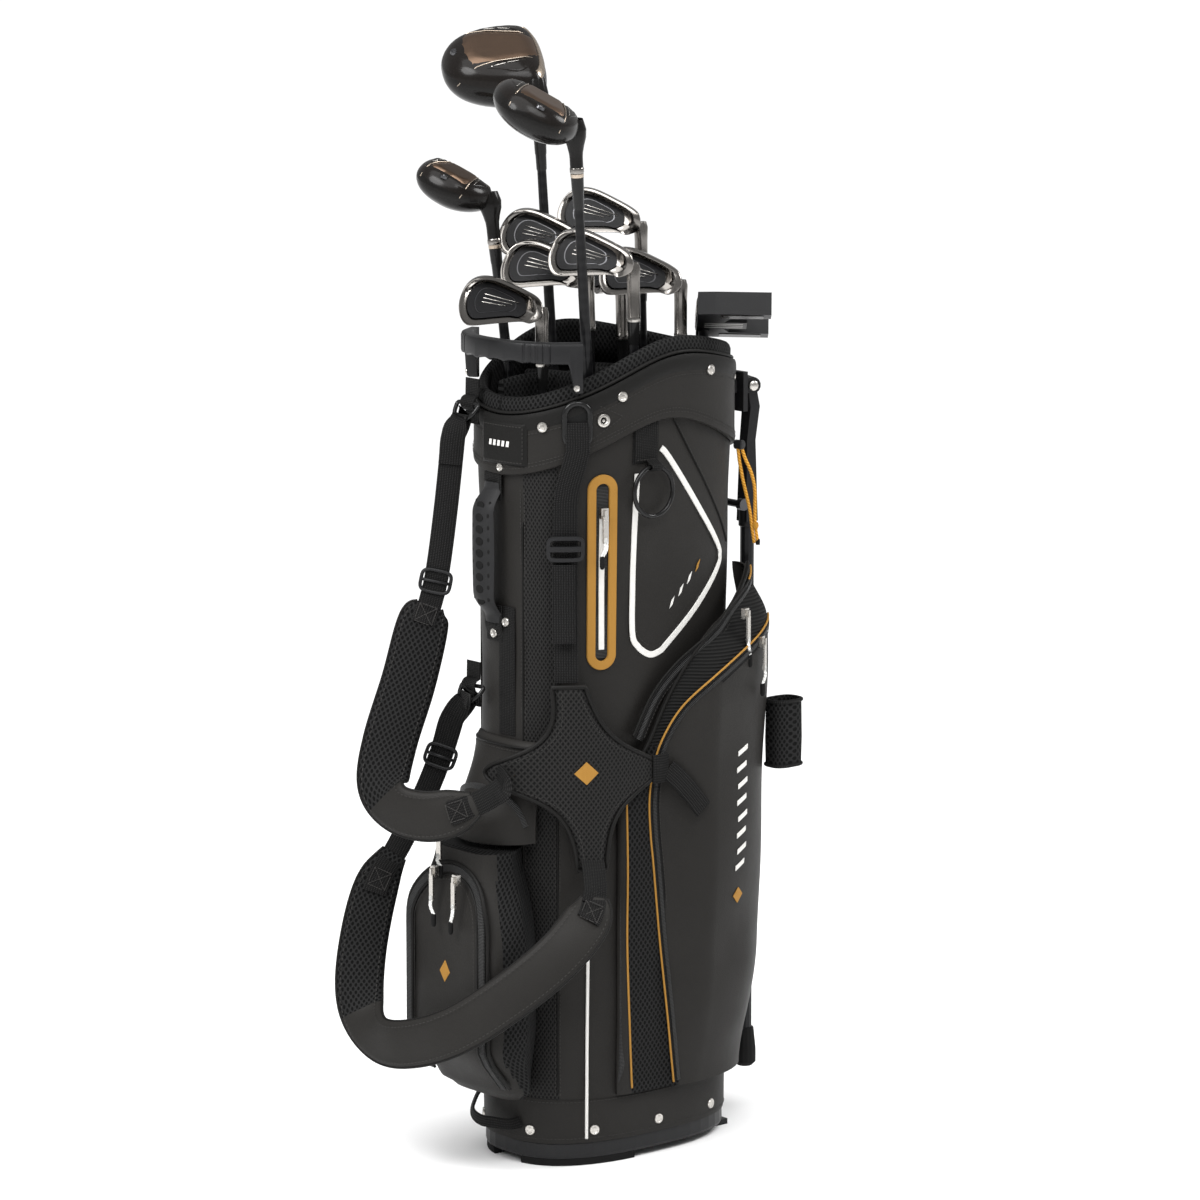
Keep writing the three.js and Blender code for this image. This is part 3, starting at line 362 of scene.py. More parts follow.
def route(places, steps, closed=False, where=on_body, outline=BODY):
    """Points and normals of a route on the bag from (arc, height, offset) places in millimetres."""
    samples = spline([[v * MM for v in p] for p in places], steps, closed)
    return [where(*p) for p in samples], [outline.normal(p[0]) for p in samples]


def lathe(name, profile, matrix, material, sides=24, pick=None, **options):
    """Turns (radius, height) points about the local Z axis of a matrix."""
    rings, uv_rings = [], []
    angles = turn_angles(sides)
    for r, z in profile:
        r = max(r, 1e-5)
        rings.append([matrix @ Vector((r * math.cos(a), r * math.sin(a), z)) for a in angles])
        uv_rings.append([(0.02 * a, z) for a in angles])
    return loft(name, rings, uv_rings, material, pick=pick, **options)


def turned(name, profile_mm, matrix, material, **options):
    """A lathe from (radius, height) points in millimetres."""
    return lathe(name, [(r * MM, z * MM) for r, z in profile_mm], matrix, material, **options)


def repaint(name, material, width, segments=2, angle=35):
    """Gives a CAD piece its material and rounds its edges."""
    node = frame["nodes"][name]
    node.data.materials.clear()
    node.data.materials.append(material)
    bevel(node, width, segments, angle)


def facing(point, normal):
    """A matrix at a point whose Z axis is the normal and whose Y axis is upwards."""
    side = UP.cross(normal).normalized()
    lift = normal.cross(side)
    return Matrix.Translation(point) @ Matrix((side, lift, normal)).transposed().to_4x4()


def many(name, matrices, verts, faces, material, **options):
    """Copies of one small shape in a single mesh."""
    all_verts, all_faces, uvs = [], [], []
    for matrix in matrices:
        start = len(all_verts)
        all_verts += [matrix @ Vector(v) for v in verts]
        uvs += [(v[0], v[1]) for v in verts]
        all_faces += [tuple(start + i for i in face) for face in faces]
    return build(name, all_verts, all_faces, uvs, material, **options)


def turned_shape(profile_mm, sides):
    """Vertices and faces of a small turned shape for many()."""
    verts, faces = [], []
    for r, z in profile_mm:
        verts += [(r * MM * math.cos(a), r * MM * math.sin(a), z * MM) for a in turn_angles(sides)]
    top = (len(profile_mm) - 1) * sides
    for here in range(0, top, sides):
        there = here + sides
        for k in range(sides):
            m = (k + 1) % sides
            faces.append((here + k, here + m, there + m, there + k))
    faces.append(tuple(range(top, top + sides)))
    return verts, faces


# ---- materials ---------------------------------------------------------------------------------
class Paint:
    """A principled material whose colour, roughness and bump come from nodes."""

    def __init__(self, name, color, roughness, metallic=0.0, coat=0.0, shine=0.08):
        self.material = bpy.data.materials.new(name)
        self.material.use_nodes = True
        self.tree = self.material.node_tree
        self.shader = self.tree.nodes["Principled BSDF"]
        self.color = (*color, 1)
        values = {"Base Color": self.color, "Roughness": roughness, "Metallic": metallic}
        values.update({"Coat Weight": coat, "Coat Roughness": 0.12})
        values["Specular IOR Level"] = 0.5 if metallic else shine
        for key, value in values.items():
            self.shader.inputs[key].default_value = value
        self.normal = None

    def node(self, kind, inputs=None, **settings):
        node = self.tree.nodes.new("ShaderNode" + kind)
        for key, value in settings.items():
            setattr(node, key, value)
        for key, value in (inputs or {}).items():
            if isinstance(value, bpy.types.NodeSocket):
                self.tree.links.new(value, node.inputs[key])
            else:
                node.inputs[key].default_value = value
        return node

    def coords(self, source="UV", scale=(1, 1, 1), turn=0.0):
        texture = self.node("TexCoord")
        inputs = {"Vector": texture.outputs[source], "Scale": scale, "Rotation": (0, 0, turn)}
        return self.node("Mapping", inputs).outputs[0]

    def noise(self, scale, detail=3, source="Object", stretch=(1, 1, 1)):
        inputs = {"Vector": self.coords(source, stretch), "Scale": scale, "Detail": detail}
        return self.node("TexNoise", inputs).outputs[0]

    def cells(self, scale, source="UV", stretch=(1, 1, 1), turn=0.0, randomness=0.0):
        inputs = {"Vector": self.coords(source, stretch, turn), "Scale": scale, "Randomness": randomness}
        return self.node("TexVoronoi", inputs).outputs["Distance"]

    def wave(self, pitch, axis="X", source="UV", turn=0.0, warp=0.0):
        inputs = {"Vector": self.coords(source, turn=turn), "Scale": 0.314 / pitch, "Distortion": warp}
        return self.node("TexWave", inputs, bands_direction=axis).outputs["Fac"]

    def math(self, operation, a, b=0.5):
        node = self.node("Math", operation=operation)
        for socket, value in zip(node.inputs, (a, b)):
            if isinstance(value, bpy.types.NodeSocket):
                self.tree.links.new(value, socket)
            else:
                socket.default_value = value
        return node.outputs[0]

    def spread(self, factor, low, high):
        inputs = {"Value": factor, "To Min": low, "To Max": high}
        return self.node("MapRange", inputs).outputs[0]

    def tint(self, factor, other):
        """Mixes the colour so far with another by a factor."""
        mix = self.node("Mix", data_type="RGBA")
        self.tree.links.new(factor, mix.inputs[0])
        if isinstance(self.color, bpy.types.NodeSocket):
            self.tree.links.new(self.color, mix.inputs[6])
        else:
            mix.inputs[6].default_value = self.color
        mix.inputs[7].default_value = (*other, 1)
        self.color = mix.outputs[2]
        self.tree.links.new(self.color, self.shader.inputs["Base Color"])
        return self

    def rough(self, factor, low, high):
        self.tree.links.new(self.spread(factor, low, high), self.shader.inputs["Roughness"])
        return self

    def bump(self, height, depth, strength=1.0):
        inputs = {"Height": height, "Distance": depth, "Strength": strength}
        if self.normal is not None:
            inputs["Normal"] = self.normal
        self.normal = self.node("Bump", inputs).outputs[0]
        self.tree.links.new(self.normal, self.shader.inputs["Normal"])
        return self


def coated_fabric(name="coated_fabric", color=(0.0115, 0.0108, 0.0100)):
    paint = Paint(name, color, 0.5, shine=0.11)
    wear = paint.noise(7, 4)
    paint.tint(wear, tuple(1.7 * c for c in color))
    paint.rough(paint.noise(22), 0.42, 0.6)
    paint.bump(paint.noise(16, 3), 0.0016, 0.5)
    return paint.bump(paint.cells(750, "Object", randomness=1.0), 0.0002, 0.7).material


def diamond_weave():
    paint = Paint("diamond_weave", (0.004, 0.004, 0.004), 0.7)
    one = paint.wave(0.0036, turn=math.radians(32))
    two = paint.wave(0.0036, turn=math.radians(-32))
    lattice = paint.math("MAXIMUM", one, two)
    paint.tint(paint.spread(lattice, -0.6, 1.0), (0.018, 0.0175, 0.017))
    paint.rough(lattice, 0.75, 0.5)
    paint.bump(lattice, 0.0006, 0.9)
    return paint.bump(paint.cells(900), 0.0002, 0.6).material


def air_mesh():
    paint = Paint("air_mesh", (0.014, 0.014, 0.014), 0.75)
    holes = paint.cells(250, stretch=(1, 0.72, 1), turn=math.radians(45))
    # The mesh's recessed holes are tinted near black: painted shade in the hollows between the strands.
    hole_shade = paint.spread(paint.math("LESS_THAN", holes, 0.36), 0.0, 1.0)
    paint.tint(hole_shade, (0.002, 0.002, 0.002))
    return paint.bump(paint.math("MINIMUM", holes, 0.55), 0.0012, 1.0).material


def webbing(name="webbing", color=(0.004, 0.004, 0.004), light=(0.021, 0.0205, 0.020)):
    paint = Paint(name, color, 0.62)
    ribs = paint.wave(0.0017, "Y")
    cords = paint.wave(0.0026, "X", warp=1.5)
    weave = paint.math("MULTIPLY", ribs, cords)
    paint.tint(weave, light)
    return paint.bump(weave, 0.0006, 0.9).material


def ribbed_fabric():
    paint = Paint("ribbed_fabric", (0.004, 0.004, 0.004), 0.7)
    ribs = paint.wave(0.0034, "Y")
    paint.tint(ribs, (0.012, 0.0118, 0.0115))
    return paint.bump(ribs, 0.0008, 1.0).material


def gold_tape():
    paint = Paint("gold_tape", (0.26, 0.13, 0.024), 0.55)
    grain = paint.cells(900)
    paint.tint(grain, (0.40, 0.21, 0.05))
    return paint.bump(grain, 0.0003, 0.8).material


def pale_tape():
    paint = Paint("pale_tape", (0.75, 0.74, 0.71), 0.5)
    grain = paint.wave(0.0012, "Y")
    paint.tint(grain, (0.55, 0.54, 0.52))
    return paint.bump(grain, 0.0002, 0.6).material


def zip_coil():
    paint = Paint("zip_coil", (0.006, 0.006, 0.006), 0.4)
    teeth = paint.wave(0.0015, "Y")
    paint.tint(teeth, (0.06, 0.06, 0.06))
    return paint.bump(teeth, 0.0008, 1.0).material


def braid(name, color, light):
    paint = Paint(name, color, 0.6)
    one = paint.wave(0.0018, "DIAGONAL")
    paint.tint(one, light)
    return paint.bump(one, 0.0004, 0.9).material


def moulded(name="moulded_plastic", color=(0.009, 0.009, 0.0095), low=0.3, high=0.45):
    paint = Paint(name, color, 0.4, shine=0.18)
    paint.tint(paint.noise(9), tuple(1.6 * c for c in color))
    paint.rough(paint.noise(30), low, high)
    return paint.bump(paint.cells(1200, "Object", randomness=1.0), 0.0001, 0.6).material


def rubber(name="rubber", color=(0.006, 0.006, 0.006)):
    paint = Paint(name, color, 0.75)
    paint.tint(paint.noise(12), tuple(1.8 * c for c in color))
    paint.rough(paint.noise(40), 0.6, 0.85)
    return paint.bump(paint.noise(900, 2), 0.0002, 0.7).material


def metal(name, color, low, high):
    paint = Paint(name, color, low, metallic=1.0)
    grain = paint.noise(260, 3)
    paint.rough(grain, low, high)
    return paint.bump(grain, 0.00006, 0.5).material


def gloss(name, color, roughness=0.08, metallic=0.0, coat=0.25):
    paint = Paint(name, color, roughness, metallic, coat=coat)
    flakes = paint.noise(420, 2)
    paint.tint(flakes, tuple(2.2 * c for c in color))
    paint.rough(paint.noise(11), roughness, roughness + 0.1)
    return paint.bump(paint.noise(60, 2), 0.00008, 0.4).material


def scored_face():
    paint = Paint("scored_face", (0.16, 0.16, 0.165), 0.35, metallic=1.0)
    lines = paint.math("GREATER_THAN", paint.wave(0.0042, "Y"), 0.82)
    paint.tint(lines, (0.01, 0.01, 0.01))
    paint.rough(paint.noise(300), 0.3, 0.5)
    return paint.bump(lines, -0.0004, 0.9).material


def grip_rubber():
    paint = Paint("grip_rubber", (0.012, 0.012, 0.012), 0.8)
    studs = paint.cells(330, turn=math.radians(45))
    paint.tint(studs, (0.03, 0.03, 0.03))
    return paint.bump(studs, 0.0006, 0.9).material


def graphite():
    paint = Paint("graphite", (0.0045, 0.0045, 0.005), 0.32, coat=0.18)
    bands = paint.wave(0.011, "Y", warp=0.6)
    paint.tint(bands, (0.008, 0.008, 0.0085))
    paint.rough(paint.noise(25), 0.3, 0.42)
    return paint.bump(paint.noise(700, 2), 0.00004, 0.5).material


def pale_floor():
    paint = Paint("pale_floor", (0.93, 0.93, 0.93), 0.6)
    paint.tint(paint.noise(3), (0.90, 0.90, 0.90))
    return paint.bump(paint.noise(90), 0.0002, 0.2).material


def thread(name, color):
    paint = Paint(name, color, 0.6)
    twist = paint.noise(1500, 2)
    paint.tint(twist, tuple(1.6 * c for c in color))
    return paint.bump(twist, 0.0001, 0.6).material


M = {
    "coated": coated_fabric(),
    "dark_coated": coated_fabric("dark_coated", (0.0055, 0.0053, 0.0050)),
    "weave": diamond_weave(),
    "mesh": air_mesh(),
    "webbing": webbing(),
    "ribbed": ribbed_fabric(),
    "gold": gold_tape(),
    "pale": pale_tape(),
    "coil": zip_coil(),
    "cord": braid("pull_cord", (0.55, 0.55, 0.53), (0.85, 0.85, 0.83)),
    "bungee": braid("elastic_cord", (0.42, 0.17, 0.012), (0.66, 0.35, 0.06)),
    "moulded": moulded(),
    "soft_moulded": moulded("soft_moulded", (0.010, 0.010, 0.0105), 0.5, 0.65),
    "rubber": rubber(),
    "nickel": metal("nickel", (0.50, 0.48, 0.45), 0.2, 0.36),
    "dark_steel": metal("dark_steel", (0.10, 0.10, 0.105), 0.25, 0.42),
    "chrome": metal("satin_chrome", (0.235, 0.222, 0.208), 0.13, 0.25),
    "tube": gloss("anodised_tube", (0.006, 0.006, 0.0065), 0.3, coat=0.15),
    "ring": gloss("gloss_black", (0.006, 0.006, 0.006)),
    "crown": gloss("gloss_crown", (0.0045, 0.0042, 0.0040), 0.16, coat=0.15),
    "bronze": metal("bronze_sole", (0.15, 0.10, 0.07), 0.3, 0.44),
    "dark_sole": gloss("dark_sole", (0.0050, 0.0042, 0.0038), 0.2, coat=0.15),
    "champagne": metal("champagne_trim", (0.50, 0.42, 0.34), 0.2, 0.34),
    "face": scored_face(),
    "grip": grip_rubber(),
    "graphite": graphite(),
    "badge": moulded("black_badge", (0.006, 0.006, 0.0065), 0.32, 0.5),
    "floor": pale_floor(),
    "dark_thread": thread("dark_thread", (0.024, 0.023, 0.022)),
    "pale_thread": thread("pale_thread", (0.55, 0.54, 0.5)),
}

# ---- stitching and rivets, gathered and built once ---------------------------------------------
STITCHES = {"dark_thread": [], "pale_thread": []}
RIVETS = []


def stitch(points, normals, pitch=0.0042, kind="dark_thread"):
    """Lays a row of stitches along a route."""
    total, lengths = 0.0, [0.0]
    for a, b in zip(points, points[1:]):
        total += (b - a).length
        lengths.append(total)
    for k in range(int(total / pitch)):
        wanted = (k + 0.5) * pitch
        i = int(np.searchsorted(lengths, wanted)) - 1
        share = (wanted - lengths[i]) / max(lengths[i + 1] - lengths[i], 1e-9)
        point = points[i].lerp(points[i + 1], share)
        along = (points[i + 1] - points[i]).normalized()
        normal = normals[i]
        side = along.cross(normal).normalized()
        basis = Matrix((side, along, side.cross(along))).transposed().to_4x4()
        STITCHES[kind].append(Matrix.Translation(point) @ basis)


def stitched_route(places, steps=60, where=on_body, outline=BODY):
    stitch(*route(places, steps, False, where, outline))


def stitched_corners(corners, offset):
    """Straight rows of stitches on the collar from corner to corner, in millimetres."""
    for (s0, z0), (s1, z1) in zip(corners, corners[1:]):
        places = [(lerp(s0, s1, k / 4), lerp(z0, z1, k / 4), offset) for k in range(5)]
        stitched_route(places, 12, where=on_cuff, outline=CUFF)


def rivet(s, z, offset, size=1.0, where=on_body, outline=BODY):
    normal = outline.normal(s)
    RIVETS.append(facing(where(s, z, offset), normal) @ Matrix.Scale(size, 4))


def add_stitches_and_rivets():
    half, width, lift = 0.0014, 0.00045, 0.0005
    verts = [(-width, -half, 0), (width, -half, 0), (width, half, 0), (-width, half, 0)]
    verts += [(0, -half * 0.6, lift), (0, half * 0.6, lift)]
    faces = [(0, 1, 4), (1, 2, 5, 4), (2, 3, 5), (3, 0, 4, 5)]
    for kind, matrices in STITCHES.items():
        if matrices:
            many("stitches_" + kind, matrices, verts, faces, M[kind], fix=False, sharp=180)
    profile = [(5.6, -1.5), (5.6, 0.5), (5.0, 1.3), (3.4, 1.5), (2.9, 1.1), (1.2, 1.4), (0.2, 1.4)]
    verts, faces = turned_shape(profile, 20)
    many("rivets", RIVETS, verts, faces, M["nickel"], slot="zinc", fix=False)


# ---- base, body skin and collar ----------------------------------------------------------------
BASE_BAND_LOW = 0.0248
BASE_BAND_TOP = 0.074
PANELS = [(-0.062, "coated"), (0.030, "weave"), (0.067, "coated"), (0.345, "weave")]
PANEL_MATERIALS = ["coated", "weave"]


def add_body_skin():
    columns, rows = 220, 90
    rings, uv_rings = [], []
    for j in range(columns):
        s = BODY.perimeter * j / columns
        high = cuff_seam(s) + 0.012
        ring, uvs = [], []
        for i in range(rows + 1):
            z = lerp(BASE_BAND_LOW, high, i / rows)
            sag = 0.0007 * math.sin(z * 41 + 3 * math.sin(s * 21)) * smooth(z, 0.08, 0.2)
            ring.append(on_body(s, z, sag * smooth(0.78 - z, 0.0, 0.1) + 0.0006))
            uvs.append((s, z))
        for i in range(rows, -1, -1):
            z = lerp(BASE_BAND_LOW, high, i / rows)
            ring.append(on_body(s, z, -0.0022))
            uvs.append((s, z))
        rings.append(ring)
        uv_rings.append(uvs)

    def pick(i, j):
        s = BODY.perimeter * i / columns
        s = s - BODY.perimeter if s > BODY.perimeter + PANELS[0][0] else s
        kind = [name for start, name in PANELS if s >= start][-1]
        return PANEL_MATERIALS.index(kind) if j < rows else 0

    mats = [M[name] for name in PANEL_MATERIALS]
    piece = loft("body_skin", rings, uv_rings, mats, closed=True, pick=pick, slot="weave")
    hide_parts("bag_sleeve")
    for start, _ in PANELS[1:]:
        for side in (-0.0024, 0.0024):
            places = [((start + side) / MM, z, 0.9) for z in range(76, 720, 40)]
            stitched_route(places, 90)


def add_base_band():
    def place(u, v):
        s = BODY.perimeter * u
        z = lerp(BASE_BAND_LOW, BASE_BAND_TOP + 0.004 * math.sin(plan_angle(BODY, s)), v)
        edge = smooth(min(v, 1 - v), 0, 0.08)
        return s, z, 0.0012 + 0.0008 * edge

    patch("base_band", place, 200, 8, M["coated"], slot="coated")
    for high in (0.0695, 0.030):
        places = [(BODY.perimeter / MM * k / 40, high / MM, 2.1) for k in range(41)]
        stitched_route(places, 200)
    for s in (0.037, 0.106, 0.187, 0.269, -0.05, -0.14, -0.22):
        rivet(s, 0.0385, 0.0022)


def add_base():
    for name in ("base_tray", "kick_foot"):
        repaint(name, M["moulded"], 0.0009)
    for name in ("foot_pad_near", "foot_pad_far"):
        repaint(name, M["rubber"], 0.0012)


CUFF_TRIM = 0.017


def on_cuff(s, z, offset=0.0):
    return CUFF.at(s, z, offset)


def add_cuff():
    columns = 200
    rings, uv_rings = [], []
    for j in range(columns):
        s = CUFF.perimeter * j / columns
        low, high = cuff_seam(s), cuff_top(s)
        section = [(0.0, low - 0.001), (0.0014, low), (0.0016, low + 0.004)]
        section += [(0.0010, lerp(low, high, t)) for t in (0.2, 0.5, 0.8)]
        section += [(0.0012, high - 0.004), (0.0004, high), (-0.003, high), (-0.0032, low - 0.001)]
        rings.append([on_cuff(s, z, offset) for offset, z in section])
        uv_rings.append([(s, z) for _, z in section])
    piece = loft("collar_skin", rings, uv_rings, M["coated"], closed=True, slot="coated")
    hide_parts("top_cuff")
    full = CUFF.perimeter / MM

    def trim_place(u, v):
        s = CUFF.perimeter * u
        crown = math.sin(math.pi * v) ** 0.5
        return s, cuff_top(s) - CUFF_TRIM * (1 - v) + 0.001, 0.0012 + 0.0014 * crown

    patch("collar_trim", trim_place, 200, 6, M["dark_coated"], where=on_cuff, slot="coated")
    rows = [(cuff_top, -CUFF_TRIM - 0.0028), (cuff_seam, 0.006), (cuff_seam, 0.0095)]
    for height, shift in rows:
        places = [(full * k / 60, (height(CUFF.perimeter * k / 60) + shift) / MM, 1.7) for k in range(61)]
        stitched_route(places, 260, where=on_cuff, outline=CUFF)
    for s in (0.058, 0.141, 0.260, 0.352, -0.06, -0.15):
        rivet(s, cuff_top(s) - CUFF_TRIM + 0.002, 0.0022, where=on_cuff, outline=CUFF)


def add_rim_pad():
    columns = 200
    outside = -0.0036
    thick = 0.010
    rings, uv_rings = [], []
    for j in range(columns):
        s = CUFF.perimeter * j / columns
        high = cuff_top(s)
        section, uvs = [], []
        low, top = high - 0.026, high + 0.019
        points = [(0, low), (0, high), (0, top - 0.006), (-0.0012, top - 0.0022), (-0.0035, top)]
        points += [(-thick + 0.003, top), (-thick + 0.0005, top - 0.003), (-thick, top - 0.008)]
        points += [(-thick + 0.0012, high), (-thick, low)]
        travelled = 0.0
        for k, (offset, z) in enumerate(points):
            if k:
                travelled += math.hypot(offset - points[k - 1][0], z - points[k - 1][1])
            puff = 0.0011 * math.sin(math.pi * smooth(z, high, top)) * math.sin(s * 210) * 0.4
            section.append(on_cuff(s, z, outside + offset + puff))
            uvs.append((s, travelled))
        rings.append(section)
        uv_rings.append(uvs)
    piece = loft("rim_padding", rings, uv_rings, M["mesh"], closed=True, slot="mesh", sharp=180)
    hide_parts("rim_pad")
    arcs = [CUFF.perimeter * k / columns for k in range(columns)]
    points = [on_cuff(s, cuff_top(s) + 0.0035, -0.0022) for s in arcs]
    tube("rim_piping", points, 0.0019, M["dark_coated"], closed=True, slot="coated")


# both ends of each bar: x and y, x and y, in mm
DIVIDER_BARS = [
    (-118, 26, -40, 26), (-48, 26, 44, 12), (40, 12, 118, 2), (-42, 76, -42, -76), (40, 80, 40, -80),
]


def add_divider():
    """Padded bars across the mouth, each with rounded sides."""
    low, high, thick, steps = 0.792, 0.820, 0.0084, 16
    right = [(0.5, 0.0), (0.5, 0.7), (0.36, 0.93)]
    section = right + [(0, 1.0)] + [(-u, v) for u, v in reversed(right)] + [(0, -0.04)]
    verts, faces, uvs = [], [], []
    for x0, y0, x1, y1 in DIVIDER_BARS:
        a, b = Vector((x0, y0, 0)) * MM, Vector((x1, y1, 0)) * MM
        side = (b - a).normalized().cross(UP) * thick
        start = len(verts)
        for i in range(steps + 1):
            p = a.lerp(b, i / steps)
            arch = 0.004 * math.sin(math.pi * i / steps)
            for u, v in section:
                verts.append(p + side * u + UP * lerp(low, high + arch, v))
                uvs.append(((b - a).length * i / steps, 0.03 * v))
        n = len(section)
        for i in range(steps):
            for j in range(n):
                k = (j + 1) % n
                here, there = start + i * n, start + (i + 1) * n
                faces.append((here + j, here + k, there + k, there + j))
        faces += [tuple(range(start, start + n)), tuple(range(start + steps * n, start + (steps + 1) * n))]
    piece = build("divider_padding", verts, faces, uvs, M["mesh"], slot="mesh", sharp=60)
    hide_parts("divider")


# ---- handles -----------------------------------------------------------------------------------
def add_lift_handle():
    """A moulded bar round the spine side, with ribs on its face and finger bumps below."""
    end, top, height = 0.097, 0.868, 0.022
    steps = 240
    rings, uv_rings = [], []
    for i in range(steps + 1):
        s = lerp(-end, end, i / steps)
        reach = 1 - abs(s) / end
        start = 0.0006 + 0.0014 * smooth(reach, 0, 0.35)
        low = top - height - 0.030 * (1 - smooth(reach, 0.06, 0.14))
        low += 0.0022 * abs(math.sin(math.pi * s / 0.021)) * smooth(reach, 0.35, 0.6)
        ribbed = 0.038 < abs(s) < 0.068
        rib = 0.0011 * smooth(math.cos(2 * math.pi * s / 0.0062), 0.2, 0.8) if ribbed else 0
        outer = start + 0.0118 - rib
        section = [
            (start, low), (outer - 0.003, low), (outer - 0.0008, low + 0.001), (outer, low + 0.0032),
            (outer, top - 0.0034), (outer - 0.001, top - 0.001), (outer - 0.0035, top), (start, top),
        ]
        rings.append([on_cuff(s, z, offset) for offset, z in section])
        uv_rings.append([(s, z) for _, z in section])
    piece = loft("lift_handle_bar", rings, uv_rings, M["moulded"], slot="moulded", sharp=45)
    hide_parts("lift_handle")
    for sign in (1, -1):
        rivet(sign * 0.0915, 0.822, 0.0125, 0.6, where=on_cuff, outline=CUFF)


def add_carry_handle():
    """A soft grip that stands off the spine, with dark insets down its middle."""
    arc, bottom, top, width, depth, thickness = -0.011, 0.572, 0.718, 0.034, 0.021, 0.008

    def at(u, v, back=False):
        reach = math.sin(math.pi * min(max(v, 0.001), 0.999)) ** 0.5
        half = width / 2 * (0.7 + 0.3 * reach)
        start = 0.0006 + (depth - thickness) * smooth(reach, 0.35, 0.8)
        edge = max(math.sin(math.pi * u), 0.0) ** 0.5
        mid = start + thickness * 0.28
        offset = mid - thickness * 0.26 * edge if back else mid + thickness * (0.1 + 0.62 * edge)
        return on_body(arc + (u - 0.5) * 2 * half, lerp(bottom, top, v), offset)

    rings, uv_rings, steps, across = [], [], 72, 14
    for i in range(steps + 1):
        v = i / steps
        ring = [at(k / across, v) for k in range(across + 1)]
        ring += [at(k / across, v, True) for k in range(across - 1, 0, -1)]
        rings.append(ring)
        uv_rings.append([(0.03 * k / across, v * 0.146) for k in range(len(ring))])
    piece = loft("carry_grip", rings, uv_rings, M["soft_moulded"], slot="grip_rubber", sharp=60)
    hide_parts("carry_handle")
    verts, faces = turned_shape([(1, -0.8), (1, 0.1), (0.85, 0.35), (0.3, 0.45)], 18)
    insets = []
    for k in range(9):
        v = lerp(0.16, 0.84, k / 8)
        normal = BODY.normal(arc)
        place = facing(at(0.5, v), normal)
        insets.append(place @ Matrix.Diagonal((6.2, 4.4, 1, 1)))
        for u in (0.14, 0.86):
            dot = facing(at(u, v + 0.02), (at(u, v) - at(0.5, v)).normalized() * 0.6 + normal)
            insets.append(dot @ Matrix.Diagonal((1.5, 2.2, 0.6, 1)))
    many("grip_insets", insets, verts, faces, M["rubber"], slot="foot_rubber", fix=False)
    for name, low, high in (("top", 700, 742), ("bottom", 552, 590)):
        heights = np.linspace(low, high, 6)
        points, normals = route([(-11, z, 4 if 560 < z < 730 else 1.6) for z in heights], 18)
        ribbon("grip_web_" + name, points, normals, 0.029, 0.002, M["webbing"], slot="webbing")
    rivet(-0.011, 0.560, 0.0035, 0.9)
    rivet(-0.011, 0.736, 0.0035, 0.9)


# ---- body trims --------------------------------------------------------------------------------
RING_OUT = Vector((-math.cos(math.radians(55)), 0, -math.sin(math.radians(55))))


def d_ring_route(x, y, z, size=0.032):
    """The bent wire of a D-ring that hangs outwards and down from a straight side along Y."""
    half = size / 2
    points = [Vector((0, half, 0)), Vector((0, 0, 0)), Vector((0, -half, 0))]
    for k in range(7):
        a = math.pi * (0.04 + 0.92 * k / 6)
        across = Vector((0, -half * 1.05 * math.cos(a), 0))
        points.append(across + RING_OUT * (half * (0.3 + 0.9 * math.sin(a))))
    return [Vector((x, y, z)) + Vector(p) for p in spline([tuple(p) for p in points], 72, closed=True)]


def add_rings():
    for name in ("d_ring_upper", "d_ring_lower"):
        wire = d_ring_route(*JOINTS[name + "_swing"]["pos_m"])
        ring = tube(name + "_wire", wire, 0.0023, M["ring"], closed=True, body=name, slot="black_ring")
        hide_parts(name)
        add_ring_tab(name)
    low, high = (Vector(corner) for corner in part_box("towel_ring"))
    wire = 0.0024
    middle, radius = (low + high) / 2, (high.z - low.z) / 2 - wire
    circle = [middle + Vector((radius * math.cos(a), 0, radius * math.sin(a))) for a in turn_angles(72)]
    ring = tube("towel_ring_wire", circle, wire, M["ring"], closed=True, body="towel_ring", slot="black_ring")
    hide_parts("towel_ring")


def add_ring_tab(name):
    """The web that folds round the straight side of a D-ring, with both ends sewn to the spine."""
    low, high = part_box(name)
    y, z = 0.5 * (low[1] + high[1]), high[2] - 0.002
    flat = Vector((-1, 0, 0.001))
    points, faces = [], []
    for k in range(15):
        a = math.pi * k / 14
        points.append(Vector((-0.1405 - 0.0072 * math.sin(a), y, z + 0.0075 * math.cos(a))))
        faces.append(Vector((-math.sin(a) - 0.01, 0, math.cos(a))))
    points = [points[0] + Vector((0.0005, 0, 0.018))] + points + [points[-1] + Vector((0.0005, 0, -0.014))]
    ribbon("ring_tab_" + name, points, [flat] + faces + [flat], 0.022, 0.0016, M["webbing"], slot="webbing")


